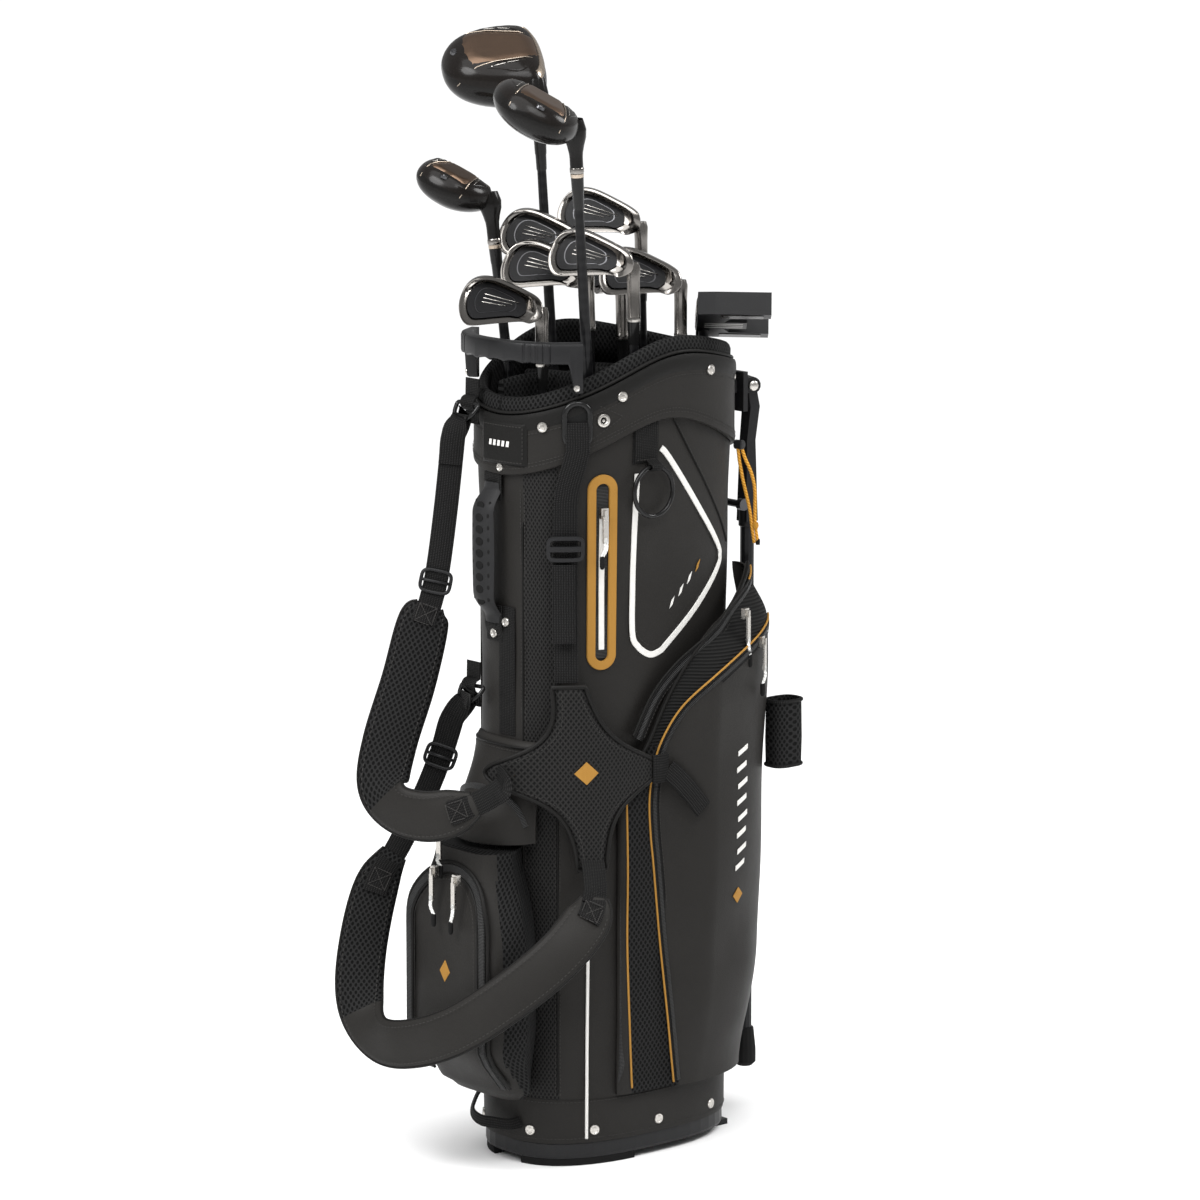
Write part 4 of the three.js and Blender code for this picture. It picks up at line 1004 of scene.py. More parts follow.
def add_patches():
    """The blank stitched patch on the collar, the strap slot's rim with a black sheet of painted shade in its
    opening, and the grommet with painted shade in its hole.
    """

    def place(u, v):
        edge = smooth(min(u, 1 - u, v * 1.4, (1 - v) * 1.4), 0, 0.08)
        return lerp(-0.025, 0.041, u), lerp(0.738, 0.783, v), 0.0018 + 0.0026 * edge

    patch("collar_patch", place, 40, 26, M["dark_coated"], 0.002, where=on_cuff, slot="coated", sharp=60)
    corners = [(-21, 742), (-21, 779), (37, 779), (37, 742), (-21, 742)]
    stitched_corners(corners, 4.6)
    rivet(0.004, 0.735, 0.0022, 0.8, where=on_cuff, outline=CUFF)

    half, s0, z0 = 0.0125, 0.093, 0.783
    points, normals = [], []
    for angle in turn_angles(48):
        z = z0 + 0.0100 * (1 if math.sin(angle) >= 0 else -1) + half * math.sin(angle)
        s = s0 + half * math.cos(angle)
        points.append(on_cuff(s, z, 0.0032))
        normals.append(CUFF.normal(s))
    tube("slot_rim", points, 0.0032, M["ring"], closed=True, slot="black_ring")

    # A flat black sheet inside the slot's rim: painted shade in the opening where the web goes into the bag.
    def hole(u, v):
        return s0 + (u - 0.5) * 0.019, z0 + (v - 0.5) * 0.036, 0.0022

    patch("slot_opening_shade", hole, 4, 6, M["rubber"], where=on_cuff, slot="foot_rubber")
    place = facing(on_cuff(0.120, 0.787, 0.0016), CUFF.normal(0.120))
    rim = [(3.2, -1), (3.2, 1.4), (3.9, 2.2), (5.2, 2.4), (6.6, 1.8), (7.2, 0.6), (7.2, -1)]
    turned("grommet", rim, place, M["nickel"], slot="zinc", caps=False)
    # A black ring sunk inside the grommet: painted shade in the hollow between its rim and its core.
    turned("grommet_hole_shade", [(3.3, 0.2), (1.4, 0.1)], place, M["rubber"], slot="foot_rubber")
    turned("grommet_core", [(1.5, 0), (1.5, 1.2), (0.6, 1.5)], place, M["nickel"], slot="zinc")
    stitched_corners([(108, 806), (108, 768), (142, 790), (108, 806)], 1.8)


def add_valuables_pocket():
    """A gold racetrack welt round an upright zip."""
    s0, low, high, half = 0.113, 0.543, 0.714, 0.0115
    points, normals = [], []
    for angle in turn_angles(96):
        s, q = s0 + half * math.cos(angle), math.sin(angle)
        points.append(on_body(s, (high if q >= 0 else low) + half * q, 0.0022))
        normals.append(BODY.normal(s))
    dense = []
    for k, a in enumerate(points):
        b = points[(k + 1) % len(points)]
        pieces = max(1, int((b - a).length / 0.006))
        dense += [(a.lerp(b, m / pieces), normals[k]) for m in range(pieces)]
    points, normals = zip(*dense)
    ribbon("valuables_welt", points, normals, 0.0094, 0.0022, M["gold"], closed=True, slot="bungee")

    def slot_place(u, v):
        return s0 + (u - 0.5) * 0.013, lerp(low - 0.004, high + 0.004, v), 0.0012

    patch("valuables_zip", slot_place, 4, 60, M["coil"], slot="webbing")
    points, normals = route([(113, z, 1.9) for z in np.linspace(548, 690, 8)], 40)
    ribbon("valuables_tape", points, normals, 0.0062, 0.0010, M["pale"], slot="webbing")


# arc length and height round the pocket outlined on the upper panel, in mm
TRIANGLE = [
    (183, 752), (195, 740), (240, 683), (276, 640), (281, 628), (276, 616), (238, 580), (196, 546),
    (186, 539), (172, 537), (157, 547), (150, 562), (150, 610), (151, 660), (153, 728),
]


def add_triangle_pocket():
    places = [(s, z, 1.6) for s, z in TRIANGLE]
    points, normals = route(places, 150)
    ribbon("pocket_line", points, normals, 0.0066, 0.0011, M["pale"], slot="webbing")
    inner = [(s + 0.08 * (205 - s), z + 0.08 * (640 - z), 1.0) for s, z in TRIANGLE]
    stitched_route(inner, 150)
    points, normals = route([(198, 784, 1.4), (225, 742, 1.4), (262, 690, 1.4), (300, 640, 1.4)], 60)
    tube("pocket_seam", points, 0.0014, M["dark_coated"])
    stitch([p + n * 0.0012 for p, n in zip(points, normals)], normals)

    def flap(u, v):
        edge = smooth(min(u, 1 - u, v, 1 - v), 0, 0.06)
        return lerp(0.147, 0.179, u), lerp(0.738, 0.783, v), 0.0012 + 0.0022 * edge

    patch("towel_tab", flap, 20, 26, M["webbing"], 0.0012, slot="webbing")
    stitched_route([(150, 742, 3.6), (176, 742, 3.6)], 12)
    fold = [(742, 2.5), (739, 8), (736.5, 14), (733, 14), (731, 8), (736, 2)]
    points, normals = route([(169, z, offset) for z, offset in fold], 24)
    ribbon("ring_loop", points, normals, 0.014, 0.0013, M["webbing"], slot="webbing", sharp=60)


WEB_WIDTH = 0.025
WEB_LOW, WEB_TOP = 0.518, 0.742


def web_arc(z):
    """Arc length of the front web's middle at a height."""
    return 0.075 + 0.016 * smooth(z, 0.700, 0.790)


def web_offset(z):
    """How far the front web stands off the bag at a height."""
    return 0.008 + 0.009 * (1 - smooth(z, WEB_LOW, 0.600)) + 0.004 * smooth(z, 0.640, 0.740)


def add_front_web():
    """The web from the slot in the collar to the hub, its loose tail and its ladder lock."""
    points = [on_body(web_arc(z), z, web_offset(z) + 0.0008) for z in np.linspace(WEB_LOW, WEB_TOP, 40)]
    points += [on_cuff(0.093, z, offset) for z, offset in ((0.757, 0.0075), (0.772, 0.0062), (0.786, 0.0035))]
    normals = [BODY.normal(web_arc(0.7))] * len(points)
    web = ribbon("front_webbing", points, normals, WEB_WIDTH, 0.0017, M["webbing"], slot="webbing")
    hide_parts("front_web")
    tail = [on_body(web_arc(z) - 0.002, z, web_offset(z) + 0.0052 + 0.0667 * (0.64 - z))
            for z in np.linspace(0.640, 0.560, 14)]
    ribbon("web_tail", tail, normals[:14], WEB_WIDTH * 0.96, 0.0017, M["webbing"], slot="webbing")
    add_ladder_lock()


def add_ladder_lock():
    low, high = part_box("ladder_lock")
    middle = 0.5 * (low[2] + high[2])
    arc, back = web_arc(middle), web_offset(middle) + 0.0052
    rim, normals = [], []
    for angle in turn_angles(40):
        s = arc + 0.0148 * rounded(math.cos(angle), 0.35)
        rim.append(on_body(s, middle + 0.0112 * rounded(math.sin(angle), 0.35), back))
        normals.append(BODY.normal(s))
    moulded = M["moulded"]
    lock = ribbon("ladder_lock_frame", rim, normals, 0.0042, 0.0036, moulded, closed=True, slot="moulded")
    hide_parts("ladder_lock")
    bar = [((arc + d) / MM, middle / MM, back / MM + 0.6) for d in (-0.0145, 0, 0.0145)]
    points, normals = route(bar, 10)
    ribbon("lock_bar", points, normals, 0.0058, 0.0030, moulded, slot="moulded")


# ---- pockets -----------------------------------------------------------------------------------
POCKET_LOW = 0.074


def pocket_top(s):
    """Height of the clothes pocket's upper edge, which climbs towards the stand."""
    return lerp(0.402, 0.560, smooth(s, 0.120, 0.245)) + 0.054 * smooth(s, 0.225, 0.330)


def pocket_face(s, z):
    """Offset of the filled clothes pocket's face, before its folds."""
    v = (z - POCKET_LOW) / (pocket_top(s) - POCKET_LOW)
    belly = 0.009 + 0.029 * smooth(s, 0.178, 0.232)
    head = 0.5 + 0.5 * smooth(1 - v, 0, 0.1)
    foot = 0.4 + 0.6 * smooth(v, 0, 0.25)
    return 0.0055 + belly * head * foot * (1 - 0.22 * (1 - smooth(v, 0.2, 0.85)))


# arc length and height along the pocket's zips and piping, in mm
SECOND_ZIP = [
    (322, 552), (298, 544), (262, 528), (226, 508), (200, 478), (182, 444), (172, 414), (168, 385),
    (170, 350), (174, 318), (179, 270), (183, 230), (190, 170), (199, 110), (204, 80),
]
UPPER_ZIP = [(324, 603), (300, 592), (268, 575), (237, 552), (200, 522), (173, 492), (150, 452)]
INNER_PIPING = [(136, 395), (136, 320), (136, 239), (139, 160), (143, 110), (146, 80)]


def border(places):
    """Arc length of a route at a height, for routes that run from top to bottom."""
    arcs, heights = np.array(spline(places, 80))[::-1].T * MM
    return lambda z: float(np.interp(z, heights, arcs))


SECOND_ZIP_AT = border(SECOND_ZIP)
INNER_PIPING_AT = border(INNER_PIPING)


def wrinkle(s, z):
    """Soft folds of the filled pocket, strongest along its lower part."""
    folds = math.sin(z * 31 + 2.2 * math.sin(s * 17)) * 0.0011 + math.sin(s * 63 - z * 24) * 0.0007
    return folds * smooth(s, 0.15, 0.21) * smooth(z, 0.08, 0.13)


def pocket_lift(s, z):
    """Offset of the clothes pocket's cloth, with places and result in millimetres."""
    return (pocket_face(s * MM, z * MM) + wrinkle(s * MM, z * MM)) / MM


def add_clothes_pocket():
    low_s, high_s = 0.130, 0.326

    def place(u, v):
        s = lerp(low_s, high_s, u)
        z = lerp(POCKET_LOW, pocket_top(s), v)
        side = smooth(u, 0, 0.05) * smooth(1 - u, 0, 0.06)
        rise = pocket_face(s, z) + wrinkle(s, z)
        return s, z, lerp(0.0040, rise, 0.35 + 0.65 * side ** 0.5)

    def pick(s, z):
        second = SECOND_ZIP_AT(z)
        if z > 0.44:
            return 0 if s > second else 1
        if s > second:
            return 0
        return 2 if s > INNER_PIPING_AT(z) else 0

    mats = [M["coated"], M["ribbed"], M["mesh"]]
    piece = patch("clothes_pocket_skin", place, 110, 170, mats, 0.0035, pick=pick, slot="coated", sharp=60)
    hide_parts("clothes_pocket")
    for name, places, rise, gold_end in (("upper", UPPER_ZIP, 0.5, 26), ("second", SECOND_ZIP, 0.1, 161)):
        raised = [(s, z, pocket_lift(s, z) + rise) for s, z in places]
        points, normals = route(raised, 160)
        ribbon(f"zip_tape_{name}", points, normals, 0.0135, 0.0013, M["webbing"], slot="webbing")
        coil = [p + n * 0.0009 for p, n in zip(points, normals)]
        ribbon(f"zip_coil_{name}", coil, normals, 0.0046, 0.0018, M["coil"], slot="webbing")
        sides = frames(points, normals)
        edge = [p + side * 0.0068 + n * 0.0006 for p, n, (_, side, _) in zip(points, normals, sides)]
        tube(f"zip_piping_{name}", edge[:gold_end], 0.0011, M["gold"], slot="bungee")
        if gold_end < len(edge):
            tube(f"zip_binding_{name}", edge[gold_end - 1:], 0.0012, M["dark_coated"])
        rim = [p - side * 0.0068 for p, (_, side, _) in zip(points, sides)]
        stitch([p + n * 0.001 for p, n in zip(rim, normals)], normals)
    raised = [(s, z, pocket_lift(s, z) + 0.6) for s, z in INNER_PIPING]
    points, normals = route(raised, 90)
    tube("gusset_piping", points, 0.0011, M["gold"], slot="bungee")
    points, normals = route([(135, z, 8 if z > 92 else 5) for z in range(86, 366, 20)], 70)
    ribbon("gusset_zip", points, normals, 0.0085, 0.0022, M["coil"], slot="webbing")
    top = []
    for s in range(132, 326, 12):
        edge = pocket_top(s * MM) / MM
        top.append((s, edge - 1, pocket_lift(s, edge - 2)))
    points, normals = route(top, 90)
    tube("pocket_top_binding", points, 0.0021, M["dark_coated"])
    side = [(324.5, z, pocket_lift(324, z) * 0.5 + 3) for z in range(78, 600, 30)]
    points, normals = route(side, 90)
    tube("pocket_side_binding", points, 0.0021, M["dark_coated"])
    add_pocket_marks()
    add_plain_marks()


def add_pocket_marks():
    """Plain marks up the pocket: a ladder of bars and a diamond."""
    wide, tall, slant = 0.013, 0.0052, 0.006
    for k in range(8):

        def place(u, v, s=0.262 + 0.0015 * (k % 2), z=0.305 + 0.0175 * k):
            arc = s + (u - 0.5) * wide
            height = z + (v - 0.5) * tall + (u - 0.5) * slant
            return arc, height, pocket_lift(arc / MM, height / MM) * MM + 0.0009

        patch(f"pocket_bar_{k}", place, 4, 2, M["pale"], 0.0006, slot="webbing")
    diamond("pocket_diamond", 0.262, 0.272, 0.0085, lambda s, z: pocket_lift(s / MM, z / MM) * MM + 0.0010)


def add_plain_marks():
    """Short slanted bars where a maker would print a name."""
    for k in range(4):

        def place(u, v, k=k):
            along = 0.0125 * k + 0.0042 * (u - 0.5)
            z = 0.588 + 0.0115 * k + 0.0085 * (v - 0.5) + 0.004 * (u - 0.5)
            return 0.203 + along + 0.003 * (v - 0.5), z, 0.0013

        patch(f"panel_mark_{k}", place, 2, 2, M["gold" if k == 3 else "pale"], 0.0005, slot="webbing")
    for k in range(5):

        def on_patch(u, v, k=k):
            return -0.008 + 0.0065 * k + 0.0036 * (u - 0.5) + 0.001 * v, 0.7605 + 0.0058 * (v - 0.5), 0.0049

        patch(f"patch_mark_{k}", on_patch, 2, 2, M["pale"], 0.0004, where=on_cuff, slot="webbing")


def diamond(name, s0, z0, half, lift):
    """A gold diamond on the bag, at an arc length and a height."""

    def place(u, v):
        a, b = 2 * u - 1, 2 * v - 1
        s = s0 + half * 0.434 * (a - b)
        z = z0 + half * (a + b) * 0.5
        return s, z, lift(s, z)

    patch(name, place, 4, 4, M["gold"], 0.0008, slot="bungee")


BALL_LOW, BALL_HIGH = 0.078, 0.342
BALL_BACK = -0.1405
BALL_ARCH_HEIGHT = 0.262


def ball_half(v):
    """Half the ball pocket's width at a share of its height."""
    return 0.080 * (0.84 + 0.16 * smooth(v, 0, 0.3)) * (1 - 0.38 * smooth(v, 0.62, 1))


def ball_front(v):
    """The X of the ball pocket's face at a share of its height."""
    return -0.137 - 0.042 - 0.036 * smooth(v, 0, 0.25) * (1 - 0.42 * smooth(v, 0.7, 1))


def ball_section(v, steps=18):
    """Outline of the ball pocket at a level, from the back at +Y round to the back at -Y."""
    half, front, back = ball_half(v), ball_front(v), BALL_BACK
    out = []
    for k in range(steps + 1):
        angle = math.pi * k / steps
        y = half * rounded(math.cos(angle), 0.42)
        x = back + (front - back) * max(math.sin(angle), 0) ** 0.36
        pinch = 1 - 0.3 * smooth(abs(y) / half, 0.9, 1.0) * (1 - smooth((back - x) / (back - front), 0, 0.4))
        out.append((x, y * pinch))
    return out


def add_ball_pocket():
    levels = 60
    rings, uv_rings = [], []
    for i in range(levels + 1):
        v = i / levels
        z = lerp(BALL_LOW, BALL_HIGH, v)
        cap = 0.75 + 0.25 * smooth(v, 0, 0.04)
        ring, uvs, length = [], [], 0.0
        for x, y in ball_section(v, 36):
            fold = 0.0009 * math.sin(z * 55 + y * 30)
            ring.append(Vector((BALL_BACK + (x - BALL_BACK) * cap + fold, y * cap, z)))
            length += (ring[-1] - ring[-2]).length if len(ring) > 1 else 0.0
            uvs.append(length)
        uvs = [(run - length / 2, z) for run in uvs]
        rings.append(ring)
        uv_rings.append(uvs)

    def pick(i, j):
        x = ball_section(i / levels, 36)[j][0]
        return 0 if x < ball_front(i / levels) + 0.014 else 1

    mats = [M["coated"], M["mesh"]]
    piece = loft("ball_pocket_skin", rings, uv_rings, mats, pick=pick, slot="coated", sharp=70)
    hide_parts("ball_pocket")
    for name, radius, wire in (("outer", 0.066, 0.0022), ("inner", 0.054, 0.0016)):
        tube(f"ball_piping_{name}", ball_arch(radius), wire, M["dark_coated"])
    points = ball_arch(0.060)
    forward = [Vector((-1, 0, 0.05))] * len(points)
    ribbon("ball_zip", points, forward, 0.0085, 0.0022, M["coil"], slot="webbing")
    seam = [p + Vector((-0.0016, 0, 0)) for p in ball_arch(0.049)]
    stitch(seam, [Vector((-1, 0, 0))] * len(seam))
    add_ball_diamond()


def add_ball_diamond():
    z0 = 0.215
    x0 = ball_front((z0 - BALL_LOW) / (BALL_HIGH - BALL_LOW)) - 0.0012
    verts = [(x0, 0, z0 + 0.011), (x0, 0.008, z0), (x0, 0, z0 - 0.011), (x0, -0.008, z0)]
    verts += [(x + 0.0014, y * 1.1, z0 + (z - z0) * 1.1) for x, y, z in verts]
    faces = [(0, 1, 2, 3)] + [(k, (k + 1) % 4, 4 + (k + 1) % 4, 4 + k) for k in range(4)]
    uvs = [(y, z) for _, y, z in verts]
    build("ball_pocket_diamond", verts, faces, uvs, M["gold"], slot="bungee")


def ball_arch(radius, steps=48):
    """The arch over the ball pocket's front, down both of its sides."""
    points = []
    for k in range(steps + 1):
        t = 2 * k / steps - 1
        if abs(t) < 0.5:
            angle = math.pi / 2 - t * math.pi
            y, z = radius * math.cos(angle), BALL_ARCH_HEIGHT + radius * math.sin(angle)
        else:
            y = math.copysign(radius, t)
            z = BALL_ARCH_HEIGHT - (abs(t) - 0.5) * 0.33
        v = min(max((z - BALL_LOW) / (BALL_HIGH - BALL_LOW), 0), 1)
        x = ball_front(v) - 0.0006 + 0.010 * smooth(abs(y), 0.058, 0.078)
        points.append(Vector((x, y, min(z, BALL_HIGH - 0.006))))
    return points


def add_accessory_pocket():
    def place(u, v):
        s = lerp(-0.052, 0.048, u)
        z = lerp(0.348, 0.452, v)
        round_side = math.sin(math.pi * min(max(u, 0.03), 0.97)) ** 0.6
        belly = 0.040 * (1 - smooth(v, 0.05, 1)) * round_side
        fold = 0.0010 * math.sin(z * 70 + s * 40) * round_side
        return s, z, 0.0035 + 0.004 * smooth(min(u, 1 - u, 1 - v), 0, 0.05) + belly + fold

    piece = patch("accessory_skin", place, 50, 44, M["coated"], 0.004, slot="coated", sharp=60)
    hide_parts("accessory_pocket")

    def lifted(s, z, extra):
        u, v = (s * MM + 0.052) / 0.1, (z * MM - 0.348) / 0.104
        return (s, z, place(u, v)[2] / MM + extra)

    arch = [lifted(s, z, 0.6) for s, z in ((-46, 366), (-34, 392), (-2, 402), (30, 392), (42, 366))]
    points, normals = route(arch, 60)
    ribbon("accessory_zip", points, normals, 0.008, 0.002, M["coil"], slot="webbing")
    points, normals = route([lifted(s, 446, 0.8) for s in range(-50, 47, 12)], 40)
    tube("accessory_seam", points, 0.0015, M["dark_coated"])
    stitch([p + n * 0.0012 - UP * 0.004 for p, n in zip(points, normals)], normals)


def add_umbrella_sleeve():
    low, high = (Vector(corner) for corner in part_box("umbrella_sleeve"))
    middle = (low + high) / 2
    half_x, half_y = (high.x - low.x) / 2, (high.y - low.y) / 2

    def ring(z, grow):
        out = []
        for angle in turn_angles(48):
            x = (half_x + grow) * rounded(math.cos(angle), 2 / 3)
            y = (half_y + grow) * rounded(math.sin(angle), 2 / 3)
            out.append(Vector((middle.x + x, middle.y + y, z)))
        return out

    outside = [(low.z, 0), (low.z + 0.03, 0.0006), (high.z - 0.004, 0), (high.z, 0)]
    levels = outside + [(high.z, -0.002), (low.z, -0.002)]
    rings = [ring(z, grow) for z, grow in levels]
    uvs = [[(0.1 * k / 48, z) for k in range(48)] for z, _ in levels]
    piece = loft("umbrella_tube", rings, uvs, M["mesh"], closed=True, slot="mesh")
    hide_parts("umbrella_sleeve")
    for name, z in (("top", high.z - 0.0015), ("bottom", low.z + 0.0015)):
        tube("umbrella_binding_" + name, ring(z, 0.0), 0.0020, M["webbing"], closed=True, slot="webbing")


# ---- hub and shoulder straps -------------------------------------------------------------------
HUB_LOW, HUB_HIGH, HUB_HALF = 0.322, 0.514, 0.078


def hub_middle(v):
    """Arc length of the hub's middle line at a share of its height."""
    return 0.097 - 0.020 * v**2


def hub_lift(s):
    """How far the hub stands off the bag: more towards the spine."""
    return 0.017 + 0.017 * (1 - smooth(s, 0.016, 0.070))


def hub_half(v):
    """Half the hub's width: widest across its arms, narrow at both ends."""
    waist = 1 / (1 + ((v - 0.52) / 0.15) ** 2)
    return 0.013 + (HUB_HALF - 0.013) * ((waist - 0.07) / 0.93) ** 1.15


def hub_rim(inset, end):
    """The hub's outline up one side and down the other, a distance inside its edge."""
    points = []
    for sign in (1, -1):
        for v in np.linspace(0, 1, 60)[::sign]:
            level = lerp(end, 1 - end, v)
            s = hub_middle(level) + sign * (hub_half(v) - inset)
            points.append(on_body(s, lerp(HUB_LOW, HUB_HIGH, level), hub_lift(s) + 0.0052))
    return points


def add_hub():
    def place(u, v):
        s = hub_middle(v) + (u - 0.5) * 2 * hub_half(v)
        edge = smooth(min(u, 1 - u) * hub_half(v) * 2, 0, 0.006) * smooth(min(v, 1 - v), 0, 0.03)
        return s, lerp(HUB_LOW, HUB_HIGH, v), hub_lift(s) + 0.0035 + 0.003 * edge

    piece = patch("hub_pad", place, 60, 60, M["weave"], 0.005, slot="mesh", sharp=60)
    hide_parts("strap_hub")
    tube("hub_binding", hub_rim(0, 0), 0.0023, M["dark_coated"], closed=True)
    out = BODY.normal(hub_middle(0.5))
    seam = hub_rim(0.006, 0.04)
    stitch([p + out * 0.0012 for p in seam], [out] * len(seam))
    diamond("hub_diamond", hub_middle(0.53), 0.424, 0.012, lambda s, z: hub_lift(s) + 0.0076)
    wrap = [(159, 7.6), (165, 9.0), (172, 8.4), (179, 6.0)]
    points, normals = route([(s, 421, hub_lift(s * MM) / MM + offset) for s, offset in wrap], 20)
    ribbon("hub_wrap", points, normals, 0.030, 0.0024, M["webbing"], slot="webbing")
    tail = [(178, 419, 24), (188, 408, 30), (200, 392, 36), (212, 374, 40)]
    points, normals = route([(s, z, max(offset, pocket_lift(s, z) + 2)) for s, z, offset in tail], 40)
    ribbon("hub_tail", points, normals, 0.022, 0.0018, M["webbing"], slot="webbing")


# stations of a strap: x, y, z, width and thickness in mm, and its turn from facing out to STRAP_FACE
UPPER_STRAP = [
    (-163, 48, 764, 25, 2, 1), (-170, 52, 690, 25, 2, 1), (-178, 56, 625, 25, 2, 1),
    (-186, 58, 592, 28, 3, 1), (-194, 60, 572, 50, 11, 1), (-211, 64, 510, 54, 12, 1),
    (-234, 66, 450, 54, 12, 1),
    (-250, 58, 408, 52, 12, 0.8), (-254, 34, 388, 50, 12, 0.5), (-242, 2, 382, 50, 12, 0.2),
    (-226, -26, 388, 46, 10, 0), (-204, -46, 400, 26, 3, 0), (-184, -56, 412, 25, 2, 0),
]
LOWER_STRAP = [
    (-160, 56, 466, 25, 2, 1), (-170, 64, 425, 25, 2, 1), (-182, 78, 380, 25, 2, 1),
    (-202, 94, 330, 27, 3, 1), (-226, 102, 288, 44, 10, 1), (-244, 104, 220, 48, 11, 1),
    (-258, 88, 168, 48, 11, 0.8),
    (-266, 48, 142, 48, 11, 0.5), (-262, -2, 146, 48, 11, 0.2), (-246, -56, 168, 48, 11, 0),
    (-212, -100, 206, 48, 11, 0), (-166, -124, 246, 48, 11, 0), (-126, -124, 280, 46, 10, 0),
    (-112, -118, 302, 27, 3, 0),
]
STRAP_FACE = Vector((-0.64, -0.77, 0))
QUILT_PITCH = 0.062
PAD_SECTION = [
    (-0.5, -0.12), (-0.5, 0.12), (-0.455, 0.30), (-0.36, 0.46), (0, 0.50), (0.36, 0.46), (0.455, 0.30),
    (0.5, 0.12), (0.5, -0.12), (0.455, -0.30), (0.36, -0.46), (-0.36, -0.46), (-0.455, -0.30),
]


def add_strap(name, stations, fold):
    """A padded strap between two webs. Up to the fold its mesh lining faces out, past it its cloth."""
    steps = 200
    samples = spline(stations, steps)
    points = [Vector(p[:3]) * MM for p in samples]
    flat_out = [Vector((p.x, p.y, 0)).normalized().lerp(STRAP_FACE, min(max(q[5], 0), 1))
                for p, q in zip(points, samples)]
    normals = [face for _, _, face in frames(points, flat_out)]
    width = [max(p[3], 24) * MM for p in samples]
    thick = [max(p[4], 1.8) * MM for p in samples]
    padded = [i for i, t in enumerate(thick) if t > 0.004]
    first, last = padded[0], padded[-1]

    def part(a, b):
        return points[a : b + 1], normals[a : b + 1]

    def taper(i):
        """Rounds the pad's ends in plan and in thickness."""
        reach = min(i - first, last - i) / 9
        return min(1.0, math.sqrt(max(reach, 0.0) + 0.12))

    rings, uv_rings, travelled = [], [], 0.0
    pad_points, pad_normals = part(first, last)
    pad_frames = frames(pad_points, pad_normals)
    for k, (_, side, face) in enumerate(pad_frames):
        i = first + k
        travelled += (pad_points[k] - pad_points[k - 1]).length if k else 0
        quilt = 1 + 0.05 * math.cos(travelled * 2 * math.pi / QUILT_PITCH)
        w = width[i] * (0.8 + 0.2 * taper(i))
        h = max(thick[i] * 0.85, 0.006) * min(1, taper(i) + 0.1) * quilt
        rings.append([pad_points[k] + side * (a * w) + face * (b * h) for a, b in PAD_SECTION])
        uv_rings.append([(a * w, travelled) for a, _ in PAD_SECTION])

    def pick(i, j):
        return int((j <= 7) == (i < len(rings) * fold))

    pad = loft(f"{name}_pad", rings, uv_rings, [M["coated"], M["mesh"]], pick=pick, slot="coated", sharp=180)
    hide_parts(name)
    for label, edge, (at, inner, outer) in (("a", -1, (0, 1, 0)), ("b", 1, (7, 7, 8))):
        rim = [ring[at] + (ring[outer] - ring[inner]) * 0.2 for ring in rings]
        tube(f"{name}_binding_{label}", rim, 0.0016, M["dark_coated"])
        seam = []
        for k, (_, side, face) in enumerate(pad_frames):
            i = first + k
            aside = side * (edge * width[i] * 0.40 * taper(i))
            seam.append(pad_points[k] + aside + face * (thick[i] * 0.5 + 0.0004))
        stitch(seam[8:-8], pad_normals[8:-8], pitch=0.005)
    for k, (a, b) in enumerate(((0, first + 14), (last - 14, steps))):
        web_points, web_normals = part(a, b)
        lifted = []
        for m, p in enumerate(web_points):
            i = a + m
            over = smooth(thick[i], 0.003, 0.009) * (thick[i] * 0.5 + 0.0012)
            lifted.append(p + web_normals[m] * over)
        ribbon(f"{name}_web_{k}", lifted, web_normals, 0.025, 0.0018, M["webbing"], slot="webbing")
        centre = (first + 10) if k == 0 else (last - 10)
        box_stitch(points[centre], normals[centre], points[centre + 1] - points[centre - 1],
                   thick[centre] * 0.5 + 0.0026)


def add_ring_loop(name, stations):
    """The strap's web, doubled through its D-ring."""
    hinge = Vector(JOINTS[f"d_ring_{name}_swing"]["pos_m"])
    wire = hinge + RING_OUT * 0.0175
    start, below = Vector(stations[0][:3]) * MM, Vector(stations[1][:3]) * MM
    down = (below - start).normalized()
    points = [start + down * 0.030 + STRAP_FACE * 0.0022, start + STRAP_FACE * 0.0030]
    normals = [STRAP_FACE, STRAP_FACE]
    for k in range(9):
        angle = math.pi * k / 8
        out = Vector((-math.cos(angle), 0, math.sin(angle)))
        points.append(wire + out * 0.0036)
        normals.append(out)
    points += [start - STRAP_FACE * 0.0026, start + down * 0.024 - STRAP_FACE * 0.0022]
    normals += [-STRAP_FACE, -STRAP_FACE]
    samples = spline([(*p, *n) for p, n in zip(points, normals)], 60)
    points = [Vector(p[:3]) for p in samples]
    normals = [Vector(p[3:]).normalized() for p in samples]
    ribbon(f"{name}_ring_loop", points, normals, 0.025, 0.0017, M["webbing"], slot="webbing", sharp=60)


def add_hub_links():
    """Webs from the last station of each strap to the hub's lower and spine arms."""
    links = {"lower": (LOWER_STRAP, 97, 334), "upper": (UPPER_STRAP, 24, 421)}
    for name, (stations, arc, z) in links.items():
        before, end = Vector(stations[-2][:3]) * MM, Vector(stations[-1][:3]) * MM
        target = on_body(arc * MM, z * MM, hub_lift(arc * MM) + 0.004)
        middle = end.lerp(target, 0.5) + (end - before).normalized() * 0.003
        samples = spline([tuple(before), tuple(end), tuple(middle), tuple(target)], 30)
        points = [Vector(p) for p in samples[6:]]
        normals = [BODY.normal(arc * MM)] * len(points)
        ribbon(f"{name}_hub_link", points, normals, 0.025, 0.0018, M["webbing"], slot="webbing")


